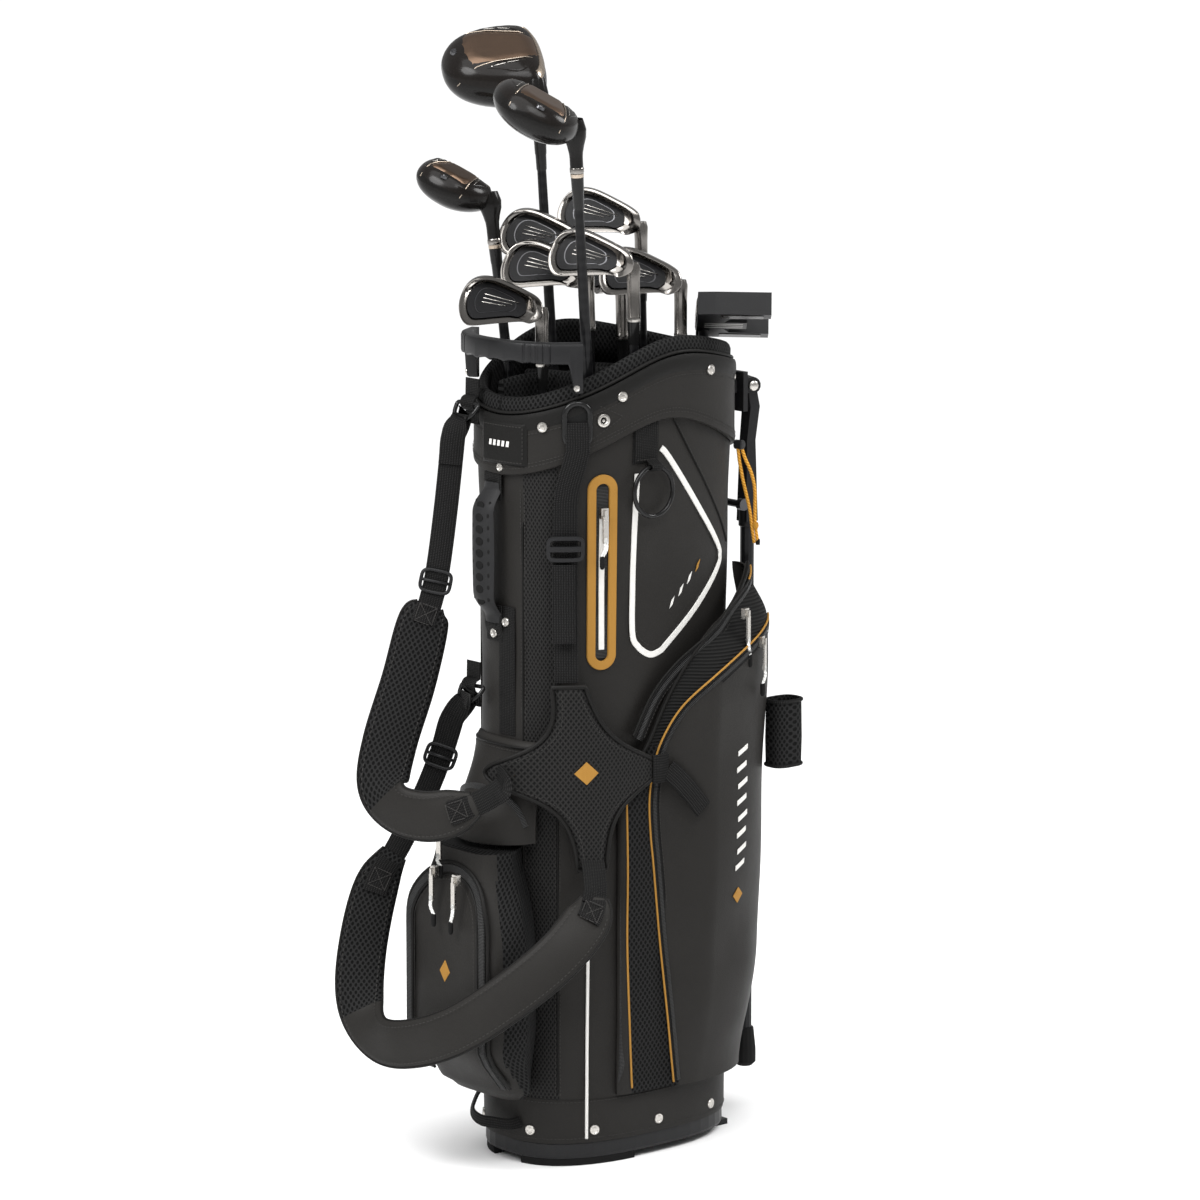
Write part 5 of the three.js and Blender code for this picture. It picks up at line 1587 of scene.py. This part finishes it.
def box_stitch(point, normal, along, lift):
    """A stitched square with a cross in it."""
    along = along.normalized()
    side = along.cross(normal).normalized()
    half = 0.0095
    a, b, c, d = (point + side * (u * half) + along * (v * half) + normal * lift
                  for u, v in ((-1, -1), (1, -1), (1, 1), (-1, 1)))
    for start, end in ((a, b), (b, c), (c, d), (d, a), (a, c), (b, d)):
        run = [start.lerp(end, t / 4) for t in range(5)]
        stitch(run, [normal] * 5, pitch=0.0032)


def add_straps():
    add_strap("upper_strap", UPPER_STRAP, 0.56)
    add_strap("lower_strap", LOWER_STRAP, 0.30)
    add_hub_links()
    for name, stations, at in (("upper", UPPER_STRAP, 2.4), ("lower", LOWER_STRAP, 1.0)):
        add_ring_loop(name, stations)
        add_adjuster(name, stations, at)


def add_adjuster(name, stations, at):
    """A slide buckle on the strap's web, at a place counted in stations."""
    samples = spline(stations, 120)
    i = int(at / (len(stations) - 1) * 120)
    a, b = Vector(samples[i][:3]) * MM, Vector(samples[i + 1][:3]) * MM
    along = (b - a).normalized()
    side = along.cross(STRAP_FACE).normalized()
    normal = side.cross(along).normalized()
    loop = []
    for angle in turn_angles(32):
        x, y = 0.0155 * rounded(math.cos(angle), 0.5), 0.0115 * rounded(math.sin(angle), 0.5)
        loop.append(a + side * x + along * y + normal * 0.0018)
    tube(f"strap_adjuster_{name}", loop, 0.0019, M["moulded"], closed=True, slot="moulded")
    bar = [a + side * x + normal * 0.0026 for x in (-0.015, 0.0, 0.015)]
    tube(f"strap_adjuster_bar_{name}", bar, 0.0017, M["moulded"], slot="moulded")


# ---- zip pulls and bungee ----------------------------------------------------------------------
SLIDERS = [
    "valuables_slider", "clothes_slider_upper", "clothes_slider_lower", "accessory_slider",
    "ball_slider_left", "ball_slider_right",
]


def add_zip_pulls():
    """A knotted white pull with a black tip on each slider's tab."""
    for number, name in enumerate(SLIDERS):
        repaint(name, M["nickel"], 0.0006)
        low, high = (Vector(corner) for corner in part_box(name))
        middle = (low + high) / 2
        outward = Vector((middle.x * 0.42, middle.y, 0)).normalized()
        if name.startswith(("ball", "accessory")):
            outward = Vector((-1, 0, 0))
        top = Vector((middle.x, middle.y, low.z + 0.003)) + outward * 0.003
        sway = outward.cross(UP) * (0.004 * (-1) ** number)
        drop = UP * (-0.010 if name == "accessory_slider" else -0.017)
        path = [top, top + drop / 2 + outward * 0.001, top + drop + sway]
        for strand, shift in (("a", -0.0011), ("b", 0.0011)):
            off = outward.cross(UP) * shift
            points = [Vector(p) for p in spline([tuple(q + off) for q in path], 14)]
            tube(f"{name}_cord_{strand}", points, 0.0011, M["cord"], body=name, slot="bungee")
        knot = Matrix.Translation(path[0])
        profile = [(0.5, -3), (2.0, -2.4), (2.6, 0), (2.0, 2.4), (0.5, 3)]
        turned(f"{name}_knot", profile, knot, M["cord"], body=name, slot="bungee", sides=12)
        tip = Matrix.Translation(path[-1])
        profile = [(0.4, -13), (1.7, -12.4), (2.6, -10), (2.6, -1), (2.1, 0.6), (0.4, 1)]
        turned(f"{name}_tip", profile, tip, M["rubber"], body=name, slot="foot_rubber", sides=14)


BUNGEE = [
    (119, -79, 742), (124, -80, 728), (131, -82, 712), (138, -80, 694), (142, -76, 676), (146, -72, 655),
    (150, -72, 634),
]
BUNGEE_RADIUS = 0.0018


def add_bungee():
    points = [Vector(p) * MM for p in spline(BUNGEE, 40)]
    length = sum((b - a).length for a, b in zip(points, points[1:]))
    cord = tube("bungee_cord", points, BUNGEE_RADIUS, M["bungee"], slot="bungee", sides=14)
    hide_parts("bungee")
    profile = [(0.6, -4), (3.0, -3), (3.6, 0), (3.0, 3), (0.6, 4)]
    knotted = Matrix.Translation(points[-7])
    knot = turned("bungee_knot", profile, knotted, M["bungee"], slot="bungee", sides=16)
    profile = [(0.4, -3.4), (2.2, -3), (2.4, 0), (2.1, 3), (0.4, 3.4)]
    end = Matrix.Translation(points[-1] + UP * 0.001)
    cap = turned("bungee_end", profile, end, M["rubber"], slot="foot_rubber", sides=16)
    sideways, knot_step = Vector((0.766, -0.643, 0)), 34
    strand = []
    for k, p in enumerate(points):
        bow = 0.007 * math.sin(math.pi * k / knot_step) ** 2 if k < knot_step else 0
        strand.append(p - sideways * (0.0038 + bow))
    second = tube("bungee_strand", strand, BUNGEE_RADIUS, M["bungee"], slot="bungee", sides=12)
    tuple(points[0])
    [tuple(p) for p in points]
    holder = facing(points[0], Vector((0.3, -0.95, 0)).normalized())
    profile = [(5, -6), (5, 2.4), (4, 3.4), (0.5, 3.6)]
    turned("bungee_holder", profile, holder, M["moulded"], slot="moulded")


# ---- folding stand -----------------------------------------------------------------------------
def add_stand():
    looks = {
        "stand_bracket": "moulded", "push_rod": "dark_steel", "leg_near": "tube", "leg_far": "tube",
        "leg_foot_near": "rubber", "leg_foot_far": "rubber", "leg_pin_near": "nickel",
        "leg_pin_far": "nickel", "kick_foot_pin": "dark_steel",
    }
    for name, look in looks.items():
        repaint(name, M[look], 0.0008, 3, 50 if name.startswith(("leg_near", "leg_far")) else 35)
    for y in (-0.049, -0.012, 0.012, 0.049):
        place = facing(Vector((0.1490, y, 0.806)), Vector((1, 0, 0)))
        RIVETS.append(place @ Matrix.Scale(0.62, 4))
    for name, y, side in (("near", -0.038, -1), ("far", 0.038, 1)):
        axis = Vector((side * math.sin(math.radians(20)), -math.cos(math.radians(20)), 0))
        centre = Vector((0.165, y, 0.798))
        for end, sign in (("a", -1), ("b", 1)):
            place = facing(centre + axis * (sign * 0.0165), axis * sign)
            profile = [(5.2, -1.4), (5.2, 0.8), (4.2, 1.8), (0.6, 2.2)]
            turned(f"pin_head_{name}_{end}", profile, place, M["nickel"], slot="steel")
        collar = Matrix.Translation(Vector((0.165, y, 0.655)))
        profile = [(8.0, -9), (9.2, -8), (9.2, 8), (8.4, 10), (8.0, 10)]
        turned(f"leg_collar_{name}", profile, collar, M["moulded"], body="leg_" + name, slot="moulded",
               caps=False)


# ---- clubs -------------------------------------------------------------------------------------
# name: kind, length along the shaft, loft and lie in degrees, heading of the toe in plan
CLUBS = {
    "driver": ("wood", 1.105, 11, 58, 60), "fairway_wood": ("wood", 1.078, 15, 58, 137),
    "hybrid": ("wood", 0.990, 21, 59, 112), "iron_5": ("iron", 0.946, 24, 61, 139),
    "iron_6": ("iron", 0.930, 27, 61.5, 138), "iron_7": ("iron", 0.917, 31, 62, 140),
    "iron_8": ("iron", 0.904, 35, 62.5, 136), "iron_9": ("iron", 0.891, 39, 63, 143),
    "pitching_wedge": ("iron", 0.880, 43, 63.5, 57), "sand_wedge": ("iron", 0.872, 50, 64, 144),
    "putter": ("putter", 0.850, 3, 70, -130),
}
# width from heel to toe, depth, height, heel's distance from the shaft, and length of the hosel
WOOD_HEADS = {
    "driver": (0.116, 0.108, 0.060, 0.018, 0.074),
    "fairway_wood": (0.094, 0.080, 0.042, 0.015, 0.066),
    "hybrid": (0.084, 0.058, 0.038, 0.013, 0.064),
}
HOSEL_TOP = {"iron": 0.068, "putter": 0.062}
# share of the head's height, and how wide the head is there
WOOD_LEVELS = [
    (0, 0.6), (0.06, 0.78), (0.2, 0.92), (0.42, 1), (0.62, 0.96), (0.8, 0.8), (0.93, 0.52), (1, 0.2),
]
IRON_OUTLINE = [
    (-7, 16), (-2, 5), (7, 0.6), (30, 0), (54, 1.5), (69, 8), (77, 20), (78, 36), (73, 48), (65, 54),
    (56, 52.5), (32, 40), (12, 30), (1, 27),
]


def club_matrices(name):
    """The shaft's frame, from the grip cap up the shaft, and the head's frame."""
    _, length, _, lie, toe = CLUBS[name]
    up = Vector(JOINTS[name + "_lift"]["axis"]).normalized()
    verts = [Vector(v.co) for v in frame["nodes"][name + "_shaft"].data.vertices]
    low = min(v.dot(up) for v in verts)
    cap = [v for v in verts if v.dot(up) < low + 0.0005]
    base = sum(cap, Vector()) / len(cap)
    heading = math.radians(toe)
    side = Vector((math.cos(heading), math.sin(heading), 0))
    side = (side - up * side.dot(up)).normalized()
    back = up.cross(side)
    shaft = Matrix.Translation(base) @ Matrix((side, back, up)).transposed().to_4x4()
    a = math.radians(lie)
    toe_axis = Vector((math.sin(a), 0, math.cos(a)))
    crown_axis = Vector((math.cos(a), 0, -math.sin(a)))
    head = Matrix((toe_axis, crown_axis, Vector((0, 1, 0)))).transposed().to_4x4()
    return shaft, shaft @ Matrix.Translation(Vector((0, 0, length))) @ head


def add_shaft(name, matrix):
    kind, length = CLUBS[name][:2]
    top = WOOD_HEADS[name][4] if kind == "wood" else HOSEL_TOP[kind]
    end = length - top - 0.0004
    ferrule = {"wood": 0.036, "iron": 0.026, "putter": 0.014}[kind]
    cap = [(0.4, 0), (11.2, 0), (12.2, 3), (12.2, 8)]
    grip = cap + [(11.8, 14), (11.2, 90), (10.4, 180), (9.4, 264), (7.7, 265.4)]
    profile = [(r * MM, z * MM) for r, z in grip]
    profile += [(0.0075, 0.27), (0.0072, 0.5), (0.0062, 0.7), (0.0048, end - ferrule - 0.001)]
    marks = [len(grip) - 1, len(profile) - 1]
    for t, r in ((0.0, 0.0049), (0.05, 0.0055), (0.45, 0.0058), (0.5, 0.0062), (0.9, 0.0066)):
        profile.append((r, end - ferrule * (1 - t)))
    marks.append(len(profile) - 1)
    profile += [(0.0068, end - ferrule * 0.08), (0.0068, end), (0.0004, end)]
    mats = [M["grip"], M["graphite"], M["ring"], M["champagne" if kind == "wood" else "nickel"]]

    def pick(i, _):
        return sum(i >= mark for mark in marks)

    piece = lathe(f"{name}_shaft_turned", profile, matrix, mats, sides=20, pick=pick, body=name, slot="shaft")
    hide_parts(name + "_shaft")


def wood_ring(name, level, sides=56):
    """A level outline of a wood head: flat at the face, round at the back."""
    width, depth, height, heel, _ = WOOD_HEADS[name]
    middle, front = width / 2 - heel, -0.15 * depth
    widest = front + 0.26 * depth
    fine = spline(WOOD_LEVELS, 60)
    scale = float(np.interp(level, [p[0] for p in fine], [p[1] for p in fine]))
    out = []
    for angle in turn_angles(sides):
        across, q = rounded(math.cos(angle), 0.8) * width / 2, math.sin(angle)
        along = -(abs(q) ** 0.55) * (widest - front) if q < 0 else q**0.95 * (front + depth - widest)
        z = widest + along * scale + (1 - scale) * 0.18 * depth
        out.append(Vector((middle + across * scale, height * level, z)))
    return out


def wood_levels(count=26):
    """Levels from sole to crown, closer together at both ends."""
    return [0.5 - 0.5 * math.cos(math.pi * k / count) for k in range(count + 1)]


def neck_frame(name, matrix):
    """The head's frame turned so that its Z axis runs up the hosel."""
    lie = math.radians(CLUBS[name][3])
    to_grip = Vector((-math.cos(lie), math.sin(lie), 0))
    return matrix @ Matrix((to_grip.cross(UP), UP, to_grip)).transposed().to_4x4()


def shrunk(ring, rise):
    """A ring drawn in towards its middle and lifted along Y."""
    middle = sum(ring, Vector()) / len(ring)
    return [v.lerp(middle, 0.55) + Vector((0, rise, 0)) for v in ring]


def add_wood_head(name, matrix):
    _, _, height, _, hosel = WOOD_HEADS[name]
    levels = wood_levels()
    local = [wood_ring(name, level) for level in levels]
    sides = len(local[0])
    local = [shrunk(local[0], -0.0005)] + local + [shrunk(local[-1], 0.0004)]
    levels = [0.0] + levels + [1.0]

    def pick(i, j):
        angle = 2 * math.pi * (j + 0.5) / sides
        level = levels[i]
        if math.sin(angle) < -0.45 and 0.1 < level < 0.86 and abs(math.cos(angle)) < 0.85:
            return 1
        return 2 if level < 0.30 else 0

    rings = [[matrix @ v for v in ring] for ring in local]
    uv_rings = [[(v.x, v.y) for v in ring] for ring in local]
    mats = [M["crown"], M["face"], M["dark_sole"]]
    looks = {"body": name, "slot": "wood_head"}
    piece = loft(f"{name}_head_shell", rings, uv_rings, mats, pick=pick, sharp=50, **looks)
    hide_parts(name + "_head")
    neck = neck_frame(name, matrix)
    shares = [(9.0, 0.25), (11.8, 0.5), (11.2, 0.7), (8.8, 0.9), (7.2, 1.08), (6.8, 1.2)]
    profile = [(r * MM, height * share) for r, share in shares] + [(0.0068, hosel - 0.006)]
    lathe(f"{name}_hosel", profile, neck, M["crown"], caps=False, **looks)
    profile = [(0.0068, hosel - 0.006), (0.0073, hosel - 0.005), (0.0073, hosel - 0.001), (0.0066, hosel)]
    lathe(f"{name}_hosel_ring", profile, neck, M["chrome"], **looks)
    add_sole_details(name, matrix)


def add_sole_details(name, matrix):
    """A bronze panel on the sole between two light lines, wing panels, a leading strip and a weight."""
    width, depth, height, heel, _ = WOOD_HEADS[name]
    middle, front = width / 2 - heel, -0.15 * depth

    def on_sole(x, z, out):
        return matrix @ Vector((x, sole_height(name, x, z) - out, z))

    def half(t):
        return width * (0.17 + 0.15 * t)

    def panel(u, v):
        t = lerp(0.05, 0.80, v)
        edge = smooth(min(u, 1 - u, v, 1 - v), 0, 0.10)
        return middle + (2 * u - 1) * half(t), front + depth * t, 0.0004 + 0.0011 * edge

    looks = {"where": on_sole, "body": name, "slot": "wood_head", "sharp": 60}
    patch(f"{name}_sole_panel", panel, 16, 14, M["bronze"], 0.001, **looks)
    for label, side in (("a", -1), ("b", 1)):

        def wing(u, v, side=side):
            t = lerp(0.16, 0.66, v)
            near, far = half(t) + 0.035 * width, width * (0.40 - 0.12 * abs(v - 0.35))
            edge = smooth(min(u, 1 - u, v, 1 - v), 0, 0.14)
            return middle + side * lerp(near, far, u), front + depth * t, 0.0003 + 0.0009 * edge

        patch(f"{name}_sole_wing_{label}", wing, 8, 12, M["dark_sole"], 0.001, **looks)
        for k, (start, end, look) in enumerate(((0.10, 0.90, "champagne"), (0.30, 0.58, "nickel"))):
            run = []
            for t in np.linspace(start, end, 14):
                x = middle + side * (half(min(t, 0.80)) + width * (0.012 + 0.05 * k))
                run.append(on_sole(x, front + depth * t, 0.0008))
            line = f"{name}_sole_line_{label}_{k}"
            tube(line, run, 0.0006, M[look], sides=6, body=name, slot="wood_head")
    ring, upper = (wood_ring(name, level, 120) for level in (0.08, 0.24))
    strip = [k for k in range(len(ring)) if 205 <= 3 * k <= 335]
    points = [matrix @ (ring[k].lerp(upper[k], 0.5) + Vector((0, -0.0003, -0.0006))) for k in strip]
    turn = matrix.to_3x3()
    normals = []
    for k in strip:
        rise = upper[k] - ring[k]
        normals.append(turn @ rise.cross(ring[(k + 1) % 120] - ring[k - 1]).normalized())
    strip_name = f"{name}_leading_strip"
    ribbon(strip_name, points, normals, height * 0.17, 0.0014, M["champagne"], body=name, slot="wood_head")
    z = front + depth * 0.88
    spot = Vector((middle, sole_height(name, middle, z) - 0.0004, z))
    place = matrix @ Matrix.Translation(spot) @ Matrix.Rotation(math.pi / 2, 4, "X")
    profile = [(0.1, 1.2), (1.8, 1.2), (2.2, 0.5), (4.6, 0.8), (5, -2)]
    turned(f"{name}_weight", profile, place, M["dark_steel"], body=name, slot="wood_head")


def sole_height(name, x, z):
    """Height of the wood head's lower surface over a point."""
    width, depth, height, heel, _ = WOOD_HEADS[name]
    middle, front = width / 2 - heel, -0.15 * depth
    widest = front + 0.26 * depth
    heights, scales = zip(*WOOD_LEVELS)
    for level in np.linspace(0, 0.42, 43):
        scale = float(np.interp(level, heights, scales))
        shift = (1 - scale) * 0.18 * depth
        dx = abs(x - middle) / (width / 2 * scale)
        dz = z - shift - widest
        reach = (widest - front if dz < 0 else front + depth - widest) * scale
        if dx ** 2.2 + (abs(dz) / reach) ** 2.2 < 1:
            return height * level
    return height * 0.42


def add_iron_head(name, matrix):
    slope = math.tan(math.radians(CLUBS[name][2]))
    outline = [Vector(p) * MM for p in spline([(*p, 0) for p in IRON_OUTLINE], 84, closed=True)]
    centre = sum(outline, Vector()) / len(outline) + Vector((0.006, -0.003, 0))

    def face(y):
        return -0.005 + y * slope

    def ring(scale, least, under=None):
        """The outline drawn in, at the least depth, or at the thickness less under if that is more."""
        out = []
        for p in outline:
            q = centre + (p - centre) * scale
            thick = 0.017 - 0.012 * smooth(p.y, 0, 0.030)
            depth = least if under is None else max(thick - under, least)
            out.append(Vector((q.x, q.y, face(q.y) + depth)))
        return out

    local = [
        ring(0.97, 0), ring(0.995, 0.0004), ring(1.0, 0.0016),
        ring(1.0, 0, 0.0016), ring(0.99, 0, 0.0004), ring(0.965, 0, 0),
        ring(0.86, 0.0046, 0.0004), ring(0.84, 0.0040, 0.0016),
        ring(0.76, 0.0034), ring(0.30, 0.0030),
    ]
    rings = [[matrix @ v for v in r] for r in local]
    uv_rings = [[(v.x, v.y) for v in r] for r in local]
    piece = loft(f"{name}_head_forged", rings, uv_rings, M["chrome"], body=name, slot="iron_head", sharp=38)
    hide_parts(name + "_head")

    def plate(label, scale, lift, material):
        rim = []
        for p in outline[::2]:
            q = centre + Vector((0.002, 0.001, 0)) + (p - centre) * scale
            rim.append(Vector((q.x, q.y, face(q.y))))
        low = [matrix @ (v + Vector((0, 0, lift - 0.0008))) for v in rim]
        high = [matrix @ (v + Vector((0, 0, lift))) for v in rim]
        uvs = [[(v.x, v.y) for v in rim]] * 2
        loft(f"{name}_{label}", [low, high], uvs, M[material], body=name, slot="iron_head", sharp=30)

    plate("badge", 0.71, 0.0054, "badge")
    plate("badge_step", 0.50, 0.0058, "dark_steel")
    plate("badge_face", 0.475, 0.0060, "badge")
    for k in range(3):
        line = []
        for t in (0, 0.5, 1):
            x, y = lerp(0.020 + 0.006 * k, 0.056, t), 0.014 + 0.004 * k + 0.006 * t
            line.append(matrix @ Vector((x, y, face(y) + 0.0064)))
        tube(f"{name}_badge_line_{k}", line, 0.0005, M["nickel"], body=name, slot="iron_head", sides=6)
    verts, faces, uvs = [], [], []
    for k in range(9):
        y = 0.006 + 0.0040 * k
        heel, toe = max(0.016, 0.018 + 2 * (y - 0.030)), 0.058
        start = len(verts)
        for x, q in ((heel, y), (toe, y), (toe, y + 0.0009), (heel, y + 0.0009)):
            verts.append(matrix @ Vector((x, q, face(q) - 0.0001)))
            uvs.append((x, q))
        faces.append(tuple(range(start, start + 4)))
    build(f"{name}_score_lines", verts, faces, uvs, M["rubber"], body=name, slot="iron_head", fix=False)
    neck = neck_frame(name, matrix)
    profile = [(5.6, 10), (7.4, 16), (6.8, 30), (6.7, 65.5), (7.0, 66), (7.0, 68), (6.2, 68)]
    turned(f"{name}_hosel", profile, neck, M["chrome"], body=name, slot="iron_head")


def add_putter_head(matrix):
    repaint("putter_head", M["badge"], 0.0016, 3)
    turn = matrix.to_3x3()

    def block(label, corners, depth, material):
        low = [matrix @ Vector(c) for c in corners]
        high = [p + turn @ Vector(depth) for p in low]
        uvs = [[(c[0], c[1]) for c in corners]] * 2
        looks = {"body": "putter", "slot": "putter_head", "sharp": 30}
        bevel(loft(f"putter_{label}", [low, high], uvs, M[material], **looks), 0.0004)

    def top_block(label, x, half, far_half, z0, z1, rise, material):
        """A low block on the head's top: its middle, its half widths and its two ends."""
        y = 0.0236
        corners = [(x - half, y, z0), (x + half, y, z0), (x + far_half, y, z1), (x - far_half, y, z1)]
        block(label, corners, (0, rise, 0), material)

    insert = [(x, y, -0.0079) for x, y in ((-0.022, 0.004), (0.054, 0.004), (0.054, 0.020), (-0.022, 0.020))]
    block("insert", insert, (0, 0, -0.0009), "dark_sole")
    verts, faces = turned_shape([(1.2, -0.4), (1.2, 0.3), (0.4, 0.4)], 10)
    dots = []
    for row in range(4):
        for k in range(17):
            spot = Vector((-0.018 + 0.0042 * k + 0.0021 * (row % 2), 0.006 + 0.004 * row, -0.0089))
            dots.append(matrix @ Matrix.Translation(spot) @ Matrix.Rotation(math.pi, 4, "X"))
    many("putter_face_dots", dots, verts, faces, M["nickel"], body="putter", slot="putter_head", fix=False)
    for k, x in enumerate((0.008, 0.016, 0.024)):
        top_block(f"sight_{k}", x, 0.0006, 0.0006, 0.0, 0.040, 0.0007, "pale")
    for k, x in enumerate((-0.026, 0.058)):
        top_block(f"wing_{k}", x, 0.007, 0.006, 0.016, 0.060, 0.0012, "dark_sole")


def add_clubs():
    for name, (kind, *_) in CLUBS.items():
        shaft, head = club_matrices(name)
        add_shaft(name, shaft)
        if kind == "wood":
            add_wood_head(name, head)
        elif kind == "iron":
            add_iron_head(name, head)
        else:
            add_putter_head(head)


# ---- small trims -------------------------------------------------------------------------------
def add_spine_trims():
    points, normals = route([(8, z, 1.6) for z in (456, 490, 530, 560, 590)], 40)
    ribbon("spine_webbing", points, normals, 0.024, 0.0018, M["webbing"], slot="webbing")
    rivet(0.008, 0.574, 0.0034, 0.9)
    points, normals = route([(97, 30, 3), (97, 80, 3.2), (97, 140, 2.8), (98, 220, 2.6), (98, 262, 2.6)], 60)
    tube("spine_piping", points, 0.0017, M["pale"])
    loop = [(-34, 76, 4), (-30, 62, 16), (-22, 50, 25), (-6, 46, 28), (10, 46, 24), (20, 44, 12), (26, 46, 3)]
    points, normals = route(loop, 50)
    ribbon("base_loop", points, normals, 0.012, 0.0018, M["webbing"], slot="webbing")
    for s in (0.030, 0.067, -0.062):
        points, normals = route([(s / MM, z, 1.1) for z in range(80, 730, 50)], 60)
        tube(f"panel_seam_{int(s * 1000) + 100}", points, 0.0010, M["dark_coated"])


def add_floor():
    mesh = bpy.data.meshes.new("floor")
    half = 60
    corners = [(-half, -half, 0), (half, -half, 0), (half, half, 0), (-half, half, 0)]
    mesh.from_pydata(corners, [], [(0, 1, 2, 3)])
    mesh.materials.append(M["floor"])
    floor = bpy.data.objects.new("floor", mesh)
    SCENE.collection.objects.link(floor)
    floor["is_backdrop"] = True


add_camera()
add_bungee()
add_light()
add_floor()
add_base()
add_body_skin()
add_base_band()
add_cuff()
add_rim_pad()
add_divider()
add_lift_handle()
add_carry_handle()
add_rings()
add_patches()
add_valuables_pocket()
add_triangle_pocket()
add_front_web()
add_clothes_pocket()
add_ball_pocket()
add_accessory_pocket()
add_umbrella_sleeve()
add_hub()
add_straps()
add_spine_trims()
add_zip_pulls()
add_stand()
add_clubs()
add_stitches_and_rivets()

boxes = {"cad": CAD_BOX, "visual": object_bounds()}
{key: [list(corner) for corner in corners] for key, corners in boxes.items()}
